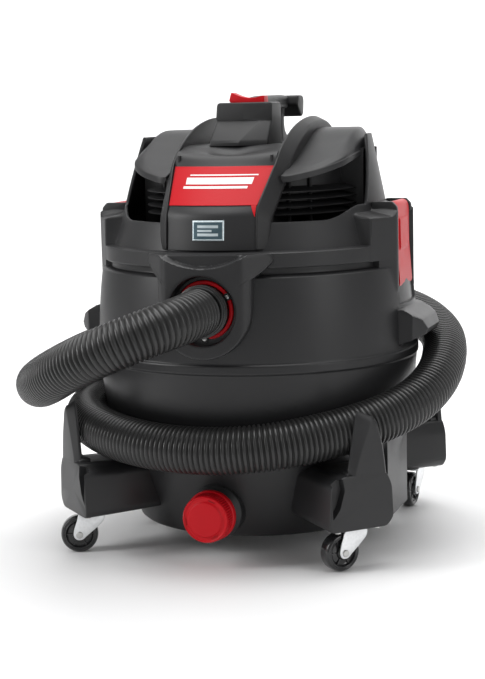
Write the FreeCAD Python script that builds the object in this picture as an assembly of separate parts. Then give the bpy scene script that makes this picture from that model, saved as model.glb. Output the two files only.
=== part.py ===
import FreeCAD, Part
import math
import os
from FreeCAD import Vector as V

# Wet and dry drum vacuum on four casters, millimetres, +Z up, front towards -Y.
# The origin is on the floor, on the drum's axis.

# ---- driving dimensions -------------------------------------------------------------------
floor_gap = 28.0            # underside of the drum above the floor
drum_base_r = 174.0
drum_waist_r = 226.0
drum_waist_z = 257.0
drum_shoulder_z = 380.0
drum_wall = 4.0
rim_r = 203.0               # outside of the drum's rim
rim_height = 17.0           # rim above the drum's shoulder
rim_inset = 13.0            # rim inside the drum's shoulder
bead_height = 11.0
grip_reach = 27.0           # side grips beyond the waist
grip_half = 56.0

hose_od = 62.0
hose_wall = 2.5
collar_wall = 2.0
inlet_drop = 41.0           # inlet's centre below the drum's shoulder
inlet_depth = 25.0          # front of the inlet boss, ahead of the lid's skirt
inlet_recess_r = 44.5
inlet_recess_depth = 15.0
inlet_half_width = 86.0
ring_r = 39.0
screw_inset = 2.0           # screws inside the ring's edge
ring_thickness = 6.0
screw_r = 1.5
screw_head_r = 3.2

drain_z = 68.0
drain_cap_r = 34.0
drain_cap_length = 32.0
drain_reach = 70.0          # drain cap's face, ahead of the drum's base
drain_spout_r = 26.0

foot_reach = 289.0          # drum axis to the foot's outer face, along the diagonal
foot_inner_side = -52.0     # sides of the foot, across the diagonal
foot_outer_side = 44.0
foot_bottom_z = 58.0
foot_shelf_z = 130.0
foot_wall = 4.0
post_top_z = 213.0
post_thickness = 9.0

caster_place = 182.0        # swivel axis, from the drum's axis along X and along Y
wheel_r = 25.4
wheel_width = 20.0
caster_trail = 21.0
caster_stem_r = 5.0
caster_stem_length = 36.0
fork_sheet = 2.2
fork_gap = 1.6              # each side of the wheel
axle_r = 3.0
trail_headings = {"front_left": 203.0, "front_right": 229.0, "rear_left": 215.0, "rear_right": 264.0}

skirt_height = 21.0
skirt_wall = 7.4
dome_step = 13.0            # the head's cone inside the skirt
dome_height = 138.0
dome_top_r = 165.0          # the cone under the hoods
head_wall = 4.0
sill_height = 35.0          # joint between the lid and the side covers, above the skirt
bridge_half = 64.0          # half width of the centre bridge
rail_width = 17.0
deck_height = 135.0         # deck above the skirt
rail_rise = 35.0            # top of the rails above the deck
hood_rise = 19.0            # crest of the hoods above the deck

ear_step = 4.0              # latch faces outside the skirt
ear_half = 50.0
ear_flank_step = 25.0
ear_flank_y = 93.0
ear_height = 65.0
ear_wall = 7.0              # ear beside the latch's pocket
pocket_depth = 10.0         # latch's pocket, behind the ear's face
seat_slope = 0.16           # slope of the latch's seat below the shoulder
latch_half = 37.0
latch_drop = 42.0           # latch's end below the split between lid and drum
latch_barrel_r = 4.0
cheek_width = 8.0           # hinge cheeks beside the latch
latch_pin_r = 2.0
latch_plate = 5.5
latch_pivot_inset = 14.0

tower_half = 39.5
tower_front_y = -75.0
tower_back_y = 0.0
tower_height = 56.0
rocker_half = 26.0
rocker_width = 20.0
rocker_y = -22.0
rocker_drop = 8.0           # rocker's axis below the tower's top
rocker_pin_r = 1.5
rocker_peak = 19.5          # ends of the rocker above its axis
rocker_valley = 14.0
rocker_rest = 6.0           # resting tilt, degrees
handle_end_y = 140.0
handle_half = 20.0
handle_rise = 10.0
handle_depth = 20.0

motor_r = 58.0
motor_height = 72.0
stator_height = 40.0
fan_r = 72.0
fan_inlet_r = 28.0
fan_height = 20.0
fan_chamber = 44.0
shaft_r = 6.0
pan_thickness = 4.0
gasket_height = 3.0
cage_r = 52.0
cage_length = 138.0
float_r = 38.0
float_lift = 22.0
filter_r = 88.0
filter_inner_r = 62.0
filter_length = 165.0
blower_r = 31.75
blower_wall = 4.0
blower_rise = 31.0          # blower outlet above the sill
blower_reach = 22.0         # blower outlet's face behind the skirt

# ---- clearances ---------------------------------------------------------------------------
part_gap = 0.3              # between pieces of one assembly
running_gap = 0.05          # shaft in its hole
moving_gap = 0.6            # between faces that pass each other
lid_gap = 0.6               # lid skirt round the drum's rim

# ---- places that follow from them ---------------------------------------------------------
drum_shoulder_r = rim_r + rim_inset
rim_top_z = drum_shoulder_z + rim_height
ear_split_z = rim_top_z - 3.0
flat_bend_z = drum_shoulder_z - 2.0
skirt_bottom_z = rim_top_z - 6.0
skirt_top_z = skirt_bottom_z + skirt_height
skirt_r = rim_r + lid_gap + skirt_wall
dome_base_r = skirt_r - dome_step
dome_top_z = skirt_top_z + dome_height
sill_z = skirt_top_z + sill_height
deck_z = skirt_top_z + deck_height
rail_top_z = deck_z + rail_rise
hood_crest_z = deck_z + hood_rise
seam_z = skirt_top_z + 2.5  # foot of the bridge and the rails, a shadow gap above the skirt
inlet_z = drum_shoulder_z - inlet_drop
inlet_face_y = -(skirt_r + inlet_depth)
collar_r = hose_od / 2 + collar_wall
drain_face_y = -(drum_base_r + drain_reach)
ear_face = skirt_r + ear_step
ear_flank_x = ear_face - ear_flank_step
latch_seat = ear_face - pocket_depth
pocket_half = ear_half - ear_wall
ear_top_z = ear_split_z + ear_height
latch_pivot_x = ear_face - latch_pivot_inset
latch_pivot_z = ear_top_z + latch_barrel_r - 0.5
latch_bottom_z = ear_split_z - latch_drop
tower_top_z = deck_z + tower_height
rocker_axis_z = tower_top_z - rocker_drop
handle_top_z = tower_top_z + handle_rise
pan_z = rim_top_z + gasket_height
fan_base_z = pan_z + 10.0
motor_base_z = pan_z + pan_thickness + fan_chamber
motor_top_z = motor_base_z + motor_height
cage_bottom_z = pan_z - cage_length
filter_bottom_z = pan_z - filter_length
blower_z = sill_z + blower_rise
blower_face_y = skirt_r + blower_reach

UP = V(0, 0, 1)
ORIGIN = V(0, 0, 0)
CORNERS = {
    "front_left": (-1, -1),
    "front_right": (1, -1),
    "rear_left": (-1, 1),
    "rear_right": (1, 1),
}

# Hose centreline, chosen by hand: out of the inlet, down round the left side over the front
# left foot, up behind the drum, down the right side and back across the front behind the posts.
hose_route = [
    (0, -243, 339), (-6, -284, 335), (-36, -322, 324), (-88, -341, 304), (-146, -325, 278),
    (-199, -281, 250),
    (-243, -217, 233), (-271, -142, 229), (-281, -60, 233), (-272, 25, 243), (-242, 108, 256),
    (-183, 191, 271), (-112, 242, 285), (-30, 263, 295), (52, 261, 299), (130, 230, 298),
    (195, 178, 288), (242, 112, 270), (261, 41, 251), (264, -27, 227), (247, -91, 205),
    (209, -144, 188), (157, -190, 176), (96, -229, 166), (25, -247, 160), (-48, -243, 160),
    (-117, -217, 163), (-176, -173, 168), (-219, -113, 172), (-243, -43, 175), (-246, 30, 176),
]


# ---- shape helpers ------------------------------------------------------------------------
def outline(corners, place):
    """Closed wire through corners. A corner given as a pair of points is an arc: middle, end."""
    edges = []
    here = corners[0]
    for step in corners[1:] + [corners[0]]:
        if isinstance(step[0], tuple):
            edges.append(Part.Arc(place(*here), place(*step[0]), place(*step[1])).toShape())
            here = step[1]
        elif place(*here).distanceToPoint(place(*step)) > 1e-6:
            edges.append(Part.LineSegment(place(*here), place(*step)).toShape())
            here = step
    return Part.Wire(edges)


def revolved(corners):
    """Solid of revolution about Z from (radius, height) corners."""
    wire = outline(corners, lambda r, z: V(r, 0, z))
    return Part.Face(wire).revolve(ORIGIN, UP, 360)


def side_prism(corners, x0, x1):
    """Prism whose side view has the (y, z) corners, from x0 to x1."""
    wire = outline(corners, lambda y, z: V(x0, y, z))
    return Part.Face(wire).extrude(V(x1 - x0, 0, 0))


def front_prism(corners, y0, y1):
    """Prism whose front view has the (x, z) corners, from y0 to y1."""
    wire = outline(corners, lambda x, z: V(x, y0, z))
    return Part.Face(wire).extrude(V(0, y1 - y0, 0))


def plan_prism(corners, z0, z1):
    """Prism whose plan has the (x, y) corners, from z0 to z1."""
    wire = outline(corners, lambda x, y: V(x, y, z0))
    return Part.Face(wire).extrude(V(0, 0, z1 - z0))


def box(x0, x1, y0, y1, z0, z1):
    return Part.makeBox(x1 - x0, y1 - y0, z1 - z0, V(x0, y0, z0))


def rod(radius, start, end):
    axis = end - start
    return Part.makeCylinder(radius, axis.Length, start, axis)


def tube(outer, inner, start, end):
    return rod(outer, start, end).cut(rod(inner, start, end))


def joined(shapes):
    """One solid from shapes that touch or overlap."""
    shape = shapes[0].multiFuse(shapes[1:]) if len(shapes) > 1 else shapes[0]
    return shape.removeSplitter()


def mirrored_x(shape):
    return shape.mirror(ORIGIN, V(1, 0, 0))


def both_sides(shape):
    return [shape, mirrored_x(shape)]


def cone_r(z):
    """Outer radius of the head's cone at height z."""
    share = (z - skirt_top_z) / (dome_top_z - skirt_top_z)
    return dome_base_r + (dome_top_r - dome_base_r) * share


# ---- drum ---------------------------------------------------------------------------------
def drum_outline(inset):
    """Half section of the drum's outside, moved inwards by inset."""
    bead_r = drum_waist_r if inset == 0 else drum_waist_r - 1.5
    low_r = drum_waist_r - 2.0
    mid_r = (drum_base_r + low_r) / 2 + 8.0
    top_mid_r = (low_r + drum_shoulder_r) / 2 + 2.0
    bottom = floor_gap + inset
    return [
        (0, bottom),
        (drum_base_r - 8.0 - inset, bottom),
        (drum_base_r - inset, floor_gap + 6.0 + inset),
        ((mid_r - inset, (floor_gap + drum_waist_z) / 2), (low_r - inset, drum_waist_z - 3.0)),
        (bead_r - inset, drum_waist_z - 1.0),
        (bead_r - inset, drum_waist_z + bead_height - 2.0),
        (low_r - 0.5 - inset, drum_waist_z + bead_height),
        ((top_mid_r - inset, (drum_waist_z + drum_shoulder_z) / 2),
         (drum_shoulder_r - inset, drum_shoulder_z)),
    ]


def drum_solid():
    """The drum's outside, filled in, without its rim."""
    return revolved(drum_outline(0) + [(rim_r, drum_shoulder_z + 4.0), (0, drum_shoulder_z + 4.0)])


def inlet_boss():
    """Round boss about the hose inlet, with ears that sweep back to the lid's skirt under its top edge."""
    back = skirt_r + moving_gap + 1.4
    top = skirt_top_z - 1.0
    half = inlet_half_width
    nose = inlet_recess_r + 5.0
    body = nose + 14.0
    plan = plan_prism([(-half, -skirt_r + 13.0), (-body, -back - 8.0), (-nose, inlet_face_y + 1.0),
                       (nose, inlet_face_y + 1.0), (body, -back - 8.0), (half, -skirt_r + 13.0),
                       (half, -rim_r + 50.0), (-half, -rim_r + 50.0)], inlet_z - body, top)
    plan = plan.cut(rod(back, V(0, 0, inlet_z - body - 1.0), V(0, 0, top + 1.0)))
    face = front_prism([(-half, top), (-half, top - 18.0), (-body - 1.0, top - 25.0), (-body, inlet_z),
                        ((0, inlet_z - body), (body, inlet_z)), (body + 1.0, top - 25.0), (half, top - 18.0),
                        (half, top)], inlet_face_y - 1.0, -rim_r + 50.0)
    core = rod(nose, V(0, inlet_face_y + 2.0, inlet_z), V(0, -rim_r + 13.0, inlet_z))
    scoop = rod(110.0, V(0, inlet_face_y - 1.0, top + 92.0), V(0, inlet_face_y + 9.0, top + 92.0))
    return plan.common(face).fuse(core).cut(scoop)


def drum_ear():
    """Flat-faced ear under a latch, on the right."""
    plan = [(rim_r - 16.0, -ear_flank_y + 22.0), (ear_flank_x + 5.0, -ear_flank_y + 12.0),
            (ear_face, -ear_half),
            (ear_face, ear_half), (ear_flank_x + 5.0, ear_flank_y - 12.0),
            (rim_r - 16.0, ear_flank_y - 22.0)]
    return plan_prism(plan, drum_shoulder_z - 50.0, ear_split_z - part_gap)


def latch_flat(depth, half):
    """Prism outside a latch's seat, depth behind it: the seat is a flat that runs out downwards."""
    far = ear_face + 30.0
    low = drum_shoulder_z - 50.0
    seat = latch_seat - depth
    side = [(seat, ear_split_z + 1.0), (seat, flat_bend_z),
            (seat + seat_slope * (flat_bend_z - low), low),
            (far, low), (far, ear_split_z + 1.0)]
    return front_prism(side, -half, half)


def side_grip():
    """Lug under each latch, where two hands lift the drum."""
    tip = drum_waist_r + grip_reach
    root = drum_waist_r - 10.0
    low = drum_waist_z + bead_height + 7.0
    side = [(root, low), (tip - 4.0, low + 13.0), (tip, low + 21.0), (tip - 8.0, low + 34.0),
            (root, low + 48.0)]
    lug = front_prism(side, -grip_half, grip_half)
    plan = plan_prism([(root - 5.0, -grip_half), (root + 8.0, -grip_half), (tip, -grip_half + 22.0),
                       (tip, grip_half - 22.0),
                       (root + 8.0, grip_half), (root - 5.0, grip_half)], low - 5.0, low + 50.0)
    return lug.common(plan)


def drum():
    """Moulded drum with its inlet boss, latch ears, side grips and drain spout, in one piece."""
    inner = revolved(drum_outline(drum_wall) + [(rim_r - drum_wall, drum_shoulder_z),
                                               (rim_r - drum_wall, rim_top_z + 1.0),
                                               (0, rim_top_z + 1.0)])
    backing = both_sides(latch_flat(drum_wall, pocket_half + drum_wall))
    inner = inner.cut(backing[0]).cut(backing[1])
    inlet_back_y = inlet_face_y + inlet_recess_depth + ring_thickness + drum_wall
    backing_r = inlet_recess_r + drum_wall
    inner = inner.cut(rod(backing_r, V(0, inlet_face_y, inlet_z), V(0, inlet_back_y, inlet_z)))
    rim = rod(rim_r, V(0, 0, drum_shoulder_z), V(0, 0, rim_top_z))
    spout = rod(drain_spout_r, V(0, -drum_base_r, drain_z), V(0, drain_face_y + 5.0, drain_z))
    collar = rod(drain_cap_r + 2.0, V(0, -drum_base_r, drain_z),
                 V(0, drain_face_y + drain_cap_length + 1.0, drain_z))
    solids = [drum_solid(), rim, spout, collar, inlet_boss()]
    solids += both_sides(drum_ear()) + both_sides(side_grip())
    shape = joined(solids).cut(inner)
    bore_r = collar_r + running_gap
    cuts = [rod(bore_r, V(0, inlet_face_y - 1.0, inlet_z), V(0, -rim_r + 23.0, inlet_z)),
            rod(inlet_recess_r, V(0, inlet_face_y - 1.0, inlet_z),
                V(0, inlet_face_y + inlet_recess_depth, inlet_z)),
            rod(ring_r + part_gap, V(0, inlet_face_y, inlet_z),
                V(0, inlet_face_y + inlet_recess_depth + ring_thickness - 2.0, inlet_z)),
            rod(drain_spout_r - 5.0, V(0, drain_face_y, drain_z), V(0, -drum_base_r + 20.0, drain_z))]
    for hole in screw_places():
        cuts.append(rod(screw_r + 0.1, V(hole[0], inlet_face_y, hole[1]),
                        V(hole[0], inlet_face_y + 25.0, hole[1])))
    shape = shape.cut(cuts[0].multiFuse(cuts[1:]))
    flats = both_sides(latch_flat(0.0, pocket_half))
    return shape.cut(lid_sweep()).cut(flats[0]).cut(flats[1])


def lid_sweep():
    """Space that the lid's skirt needs outside the drum's rim."""
    outer = skirt_r + moving_gap
    return revolved([(0, rim_top_z), (rim_r, rim_top_z), (rim_r, ear_split_z), (outer, ear_split_z),
                     (outer, rim_top_z + 30.0), (0, rim_top_z + 30.0)]).fuse(
        revolved([(rim_r + 0.01, skirt_bottom_z - 3.0), (outer, skirt_bottom_z - 3.0),
                  (outer, ear_split_z), (rim_r + 0.01, ear_split_z)]).cut(
            plan_prism([(-260, -ear_flank_y + 8), (260, -ear_flank_y + 8), (260, ear_flank_y - 8),
                        (-260, ear_flank_y - 8)], skirt_bottom_z - 4.0, ear_split_z + 1.0)))


def screw_places():
    """Centres of the screws of the inlet ring, as (x, z)."""
    turns = (30.0, 150.0, 270.0)
    middle = ring_r - screw_inset
    return [(middle * math.cos(math.radians(a)),
             inlet_z + middle * math.sin(math.radians(a))) for a in turns]


def inlet_ring():
    """Red ring that clamps the hose collar, with its screw recesses."""
    back = inlet_face_y + inlet_recess_depth + ring_thickness - 2.0
    front = back - ring_thickness
    shape = tube(ring_r, collar_r + running_gap, V(0, back, inlet_z), V(0, front, inlet_z))
    for x, z in screw_places():
        shape = shape.cut(rod(screw_r + 0.1, V(x, front - 1.0, z), V(x, back + 1.0, z)))
        shape = shape.cut(rod(screw_head_r + 0.2, V(x, front - 1.0, z), V(x, front + 2.0, z)))
    return shape


def inlet_screws():
    front = inlet_face_y + inlet_recess_depth - 2.0
    screws = []
    for x, z in screw_places():
        head = rod(screw_head_r, V(x, front, z), V(x, front + 2.0, z))
        screws.append(head.fuse(rod(screw_r, V(x, front + 2.0, z), V(x, front + 15.0, z))))
    return Part.makeCompound(screws)


def inlet_deflector():
    """Short elbow inside the drum that turns the incoming air downwards."""
    wall_y = -drum_shoulder_r + 3.0
    plate = box(-42.0, 42.0, wall_y + 42.0, wall_y + 45.0, inlet_z - 48.0, inlet_z + 40.0)
    roof = box(-42.0, 42.0, wall_y + 4.0, wall_y + 45.0, inlet_z + 37.0, inlet_z + 40.0)
    sides = [box(s - 1.5, s + 1.5, wall_y + 6.0, wall_y + 45.0, inlet_z - 20.0,
                 inlet_z + 40.0) for s in (-40.5, 40.5)]
    return joined([plate, roof] + sides).cut(drum_shell_copy())


def drum_shell_copy():
    """The drum's wall alone, which the deflector is trimmed to."""
    inner = revolved(drum_outline(drum_wall) + [(rim_r - drum_wall, drum_shoulder_z),
                                                (0, drum_shoulder_z)])
    return drum_solid().cut(inner)


# ---- drain --------------------------------------------------------------------------------
def drain_gasket():
    start = drain_face_y + 5.0
    return tube(drain_spout_r - 0.5, drain_spout_r - 4.5, V(0, start, drain_z),
                V(0, start - 1.5, drain_z))


def drain_cap():
    """Screw cap: a cup over the spout, with finger ribs round it and a raised face."""
    back = drain_face_y + drain_cap_length
    cup = rod(drain_cap_r - 2.5, V(0, back, drain_z), V(0, drain_face_y, drain_z))
    flange = rod(drain_cap_r, V(0, back - 1.0, drain_z), V(0, back - 9.0, drain_z))
    ribs = []
    for turn in range(12):
        angle = math.radians(turn * 30.0)
        rib = rod(3.0, V(0, back - 1.0, 0), V(0, drain_face_y + 2.0, 0))
        rib.translate(V((drain_cap_r - 3.0) * math.cos(angle), 0,
                        drain_z + (drain_cap_r - 3.0) * math.sin(angle)))
        ribs.append(rib)
    shape = joined([cup, flange] + ribs)
    bore = rod(drain_spout_r + moving_gap, V(0, back + 1.0, drain_z), V(0, drain_face_y + 3.2, drain_z))
    recess = tube(drain_cap_r - 7.0, drain_cap_r - 9.5, V(0, drain_face_y, drain_z),
                  V(0, drain_face_y + 1.2, drain_z))
    return shape.cut(bore).cut(recess)


# ---- feet and casters ---------------------------------------------------------------------
def diagonal_place(d, t, z):
    """Point at distance d along the front right diagonal and t across it."""
    root = math.sqrt(2.0)
    return V((d + t) / root, (t - d) / root, z)


def diagonal_prism(corners, d0, d1):
    """Prism whose view along the diagonal has the (t, z) corners, from d0 to d1."""
    wire = outline(corners, lambda t, z: diagonal_place(d0, t, z))
    return Part.Face(wire).extrude(diagonal_place(d1, 0, 0) - diagonal_place(d0, 0, 0))


def foot():
    """Front right foot: hollow caster block with a hose shelf and a tall hose post."""
    inner, outer = foot_inner_side, foot_outer_side
    face = foot_reach
    block_view = [(inner, foot_bottom_z + 6.0), (inner + 6.0, foot_bottom_z),
                  (outer - 10.0, foot_bottom_z),
                  (outer, foot_bottom_z + 12.0), (outer - 3.0, foot_shelf_z), (inner, foot_shelf_z)]
    block = diagonal_prism(block_view, drum_base_r - 20.0, face)
    post_view = [(inner + 34.0, foot_bottom_z + 30.0), (outer - 2.0, foot_bottom_z + 30.0),
                 (outer - 8.0, foot_shelf_z + 25.0),
                 (outer - 19.0, post_top_z - 14.0), (outer - 30.0, post_top_z),
                 (outer - 49.0, post_top_z),
                 (outer - 66.0, foot_shelf_z - 2.0)]
    post = diagonal_prism(post_view, face - post_thickness, face)
    shape = joined([block, post])
    hollow_view = [(inner + foot_wall, foot_bottom_z - 1.0), (outer - 14.0, foot_bottom_z - 1.0),
                   (outer - 7.0, foot_shelf_z - foot_wall), (inner + foot_wall, foot_shelf_z - foot_wall)]
    hollow = diagonal_prism(hollow_view, drum_base_r - 10.0, face - 14.0)
    shape = shape.cut(hollow)
    slot = diagonal_prism([(inner + 3.0, foot_shelf_z - 42.0), (inner + 16.0, foot_shelf_z - 30.0),
                           (inner + 16.0, foot_shelf_z + 1.0), (inner + 3.0, foot_shelf_z + 1.0)],
                           face - 9.0, face + 1.0)
    socket = rod(13.0, V(caster_place, -caster_place, foot_bottom_z),
                 V(caster_place, -caster_place, foot_shelf_z - 3.0))
    plate_t = joined([diagonal_prism([(inner + 2.0, foot_bottom_z), (outer - 12.0, foot_bottom_z),
                                      (outer - 12.0, foot_bottom_z + 4.0),
                                      (inner + 2.0, foot_bottom_z + 4.0)],
                                     caster_place * math.sqrt(2.0) - 30.0, face - 2.0), socket])
    shape = joined([shape.cut(slot), plate_t])
    bore = rod(caster_stem_r + running_gap, V(caster_place, -caster_place, foot_bottom_z - 1.0),
               V(caster_place, -caster_place, foot_bottom_z + caster_stem_length + 1.0))
    pad = box(foot_inner_side - 20.0, foot_reach, -foot_reach, 20.0, 0, foot_shelf_z + 2.0)
    return shape.cut(bore).cut(drum_solid().common(pad))


def cornered(shape, side):
    """A front right piece, mirrored to the named corner."""
    x_way, y_way = CORNERS[side]
    if x_way < 0:
        shape = shape.mirror(ORIGIN, V(1, 0, 0))
    if y_way > 0:
        shape = shape.mirror(ORIGIN, V(0, 1, 0))
    return shape


def foot_screws():
    """Two screws up through each foot into the drum's floor ring."""
    screws = []
    for side in CORNERS:
        for t in (foot_inner_side + 16.0, foot_outer_side - 22.0):
            low = diagonal_place(foot_reach - 8.0, t, foot_bottom_z - 2.0)
            high = diagonal_place(foot_reach - 8.0, t, foot_bottom_z)
            screws.append(cornered(rod(4.0, low, high), side))
    return Part.makeCompound(screws)


def caster_fork():
    """Pressed fork, trailing towards +X, with its stem on the Z axis."""
    top = foot_bottom_z - moving_gap
    bottom_top = wheel_r * 2 + 2.0
    half = wheel_width / 2 + fork_gap
    plate = box(-15.0, caster_trail - 2.0, -half, half, bottom_top, top - 1.6)
    side = [(-14.0, bottom_top + 1.0), (-8.0, bottom_top - 14.0), (caster_trail - 7.5, wheel_r - 3.0),
            (caster_trail + 6.5, wheel_r - 5.0), (caster_trail + 8.0, wheel_r + 4.0),
            (caster_trail + 2.0, bottom_top + 1.0)]
    cheeks = [front_prism(side, y, y + fork_sheet) for y in (-half - fork_sheet, half)]
    skirts = [box(-14.0, caster_trail - 2.0, y, y + fork_sheet, bottom_top,
                  top - 1.6) for y in (-half - fork_sheet, half)]
    raceway = rod(11.0, V(0, 0, top - 1.6), V(0, 0, top))
    shape = joined([plate, raceway] + cheeks + skirts)
    hole = rod(axle_r, V(caster_trail, -half - 5.0, wheel_r), V(caster_trail, half + 5.0, wheel_r))
    stem_hole = rod(caster_stem_r, V(0, 0, bottom_top - 1.0), V(0, 0, top + 1.0))
    return shape.cut(hole).cut(stem_hole)


def caster_stem():
    base = V(0, 0, wheel_r * 2 + 2.0)
    return rod(caster_stem_r, base, V(0, 0, foot_bottom_z + caster_stem_length))


def caster_axle():
    half = wheel_width / 2 + fork_gap + fork_sheet
    shaft = rod(axle_r, V(caster_trail, -half, wheel_r), V(caster_trail, half, wheel_r))
    heads = [rod(5.0, V(caster_trail, y, wheel_r),
                 V(caster_trail, y + 1.4, wheel_r)) for y in (-half - 1.4, half)]
    return joined([shaft] + heads)


def caster_wheel():
    """Wheel with a rounded tread, a dished face and a hub."""
    half = wheel_width / 2
    section = [(axle_r + running_gap, -half), (9.0, -half), (11.0, -half + 4.0), (17.0, -half + 4.0),
               (19.0, -half + 0.5),
               (wheel_r - 3.0, -half + 0.5), ((wheel_r - 0.8, -half + 1.4), (wheel_r, -half + 4.0)),
               (wheel_r, half - 4.0), ((wheel_r - 0.8, half - 1.4), (wheel_r - 3.0, half - 0.5)),
               (19.0, half - 0.5), (17.0, half - 4.0), (11.0, half - 4.0), (9.0, half),
               (axle_r + running_gap, half)]
    shape = revolved(section)
    shape.rotate(ORIGIN, V(1, 0, 0), 90)
    shape.translate(V(caster_trail, 0, wheel_r))
    return shape


def at_caster(shape, side):
    """A caster piece drawn on the Z axis, turned to its heading and put at its corner."""
    x_way, y_way = CORNERS[side]
    placed = shape.copy()
    placed.rotate(ORIGIN, UP, trail_headings[side])
    placed.translate(V(x_way * caster_place, y_way * caster_place, 0))
    return placed


# ---- hose ---------------------------------------------------------------------------------
def route_wire(points):
    """Straight runs joined by tangent arcs, each as large as its two runs allow."""
    spots = [V(*p) for p in points]
    edges = []
    here = spots[0]
    for before, corner, after in zip(spots, spots[1:], spots[2:]):
        run_in = corner - before
        run_out = after - corner
        turn = run_in.getAngle(run_out)
        reach = 0.45 * min(run_in.Length, run_out.Length)
        bend_r = reach / math.tan(turn / 2)
        way_in = V(run_in).normalize()
        way_out = V(run_out).normalize()
        start = corner - way_in * reach
        end = corner + way_out * reach
        inward = V(way_out - way_in).normalize()
        middle = corner + inward * (bend_r / math.cos(turn / 2) - bend_r)
        edges.append(Part.LineSegment(here, start).toShape())
        edges.append(Part.Arc(start, middle, end).toShape())
        here = end
    edges.append(Part.LineSegment(here, spots[-1]).toShape())
    return Part.Wire(edges)


def hose_tube():
    wire = route_wire(hose_route)
    start = V(*hose_route[0])
    way = V(*hose_route[1]) - start
    section = Part.Wire([Part.Circle(start, way, hose_od / 2).toShape()])
    bore = Part.Wire([Part.Circle(start, way, hose_od / 2 - hose_wall).toShape()])
    return wire.makePipeShell([section], True, False, 2).cut(wire.makePipeShell([bore], True, False, 2))


def hose_inlet_cuff():
    """Collar on the hose's end that turns in the inlet ring."""
    start = V(*hose_route[0])
    way = (V(*hose_route[1]) - start).normalize()
    inner = hose_od / 2 - hose_wall
    collar = tube(collar_r, inner, V(0, start.y, inlet_z), V(0, -drum_shoulder_r + 16.0, inlet_z))
    return collar.cut(rod(hose_od, start, start + way * 30.0))


def hose_end_cuff():
    """Rigid end fitting that a floor tool or a wand pushes onto."""
    end = V(*hose_route[-1])
    way = (end - V(*hose_route[-2])).normalize()
    outer = hose_od / 2
    inner = outer - hose_wall - 0.5
    grip = tube(outer + 2.0, inner, end, end + way * 28.0)
    nose = tube(outer, inner, end + way * 28.0, end + way * 72.0)
    return joined([grip, nose])


# ---- lid ----------------------------------------------------------------------------------
def side_gap():
    """Space between the two ends of the skirt, where the latch ears stand."""
    return box(-300.0, 300.0, -ear_flank_y, ear_flank_y, skirt_bottom_z - 1.0, skirt_top_z + 4.0)


def latch_pocket():
    """Pocket in the lid behind the right latch, down to its seat."""
    return box(latch_seat, ear_face + 1.0, -pocket_half, pocket_half, skirt_bottom_z - 1.0, ear_top_z)


def lid_ear():
    """Upper half of a latch ear, on the right, with a slanted top."""
    plan = [(rim_r - 20.0, -ear_flank_y - 4.0), (ear_flank_x, -ear_flank_y), (ear_face, -ear_half),
            (ear_face, ear_half),
            (ear_flank_x, ear_flank_y), (rim_r - 20.0, ear_flank_y + 4.0)]
    body = plan_prism(plan, ear_split_z + part_gap, ear_top_z)
    bevel = front_prism([(ear_face + 1.0, ear_top_z - 12.0), (ear_face + 1.0, ear_top_z + 1.0),
                         (ear_face - 9.0, ear_top_z + 1.0)],
                        -ear_flank_y - 5.0, -pocket_half - 1.0)
    inside = cone_r(ear_top_z) - 3.0
    cheek = [(inside, ear_top_z - 1.0), (ear_face - 1.0, ear_top_z - 1.0),
             (ear_face - 2.0, latch_pivot_z),
             (latch_pivot_x + 3.0, latch_pivot_z + 5.0), (inside, latch_pivot_z + 5.0)]
    cheeks = [front_prism(cheek, y, y + cheek_width) for y in (-latch_half - moving_gap - cheek_width,
                                                               latch_half + moving_gap)]
    shape = joined([body.cut(latch_pocket())] + cheeks)
    shape = shape.cut(bevel).cut(bevel.mirror(ORIGIN, V(0, 1, 0)))
    pin = rod(latch_pin_r + running_gap, V(latch_pivot_x, -ear_half, latch_pivot_z),
              V(latch_pivot_x, ear_half, latch_pivot_z))
    groove = rod(latch_barrel_r + moving_gap, V(latch_pivot_x, -latch_half - moving_gap, latch_pivot_z),
                 V(latch_pivot_x, latch_half + moving_gap, latch_pivot_z))
    return shape.cut(pin).cut(groove)


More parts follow.
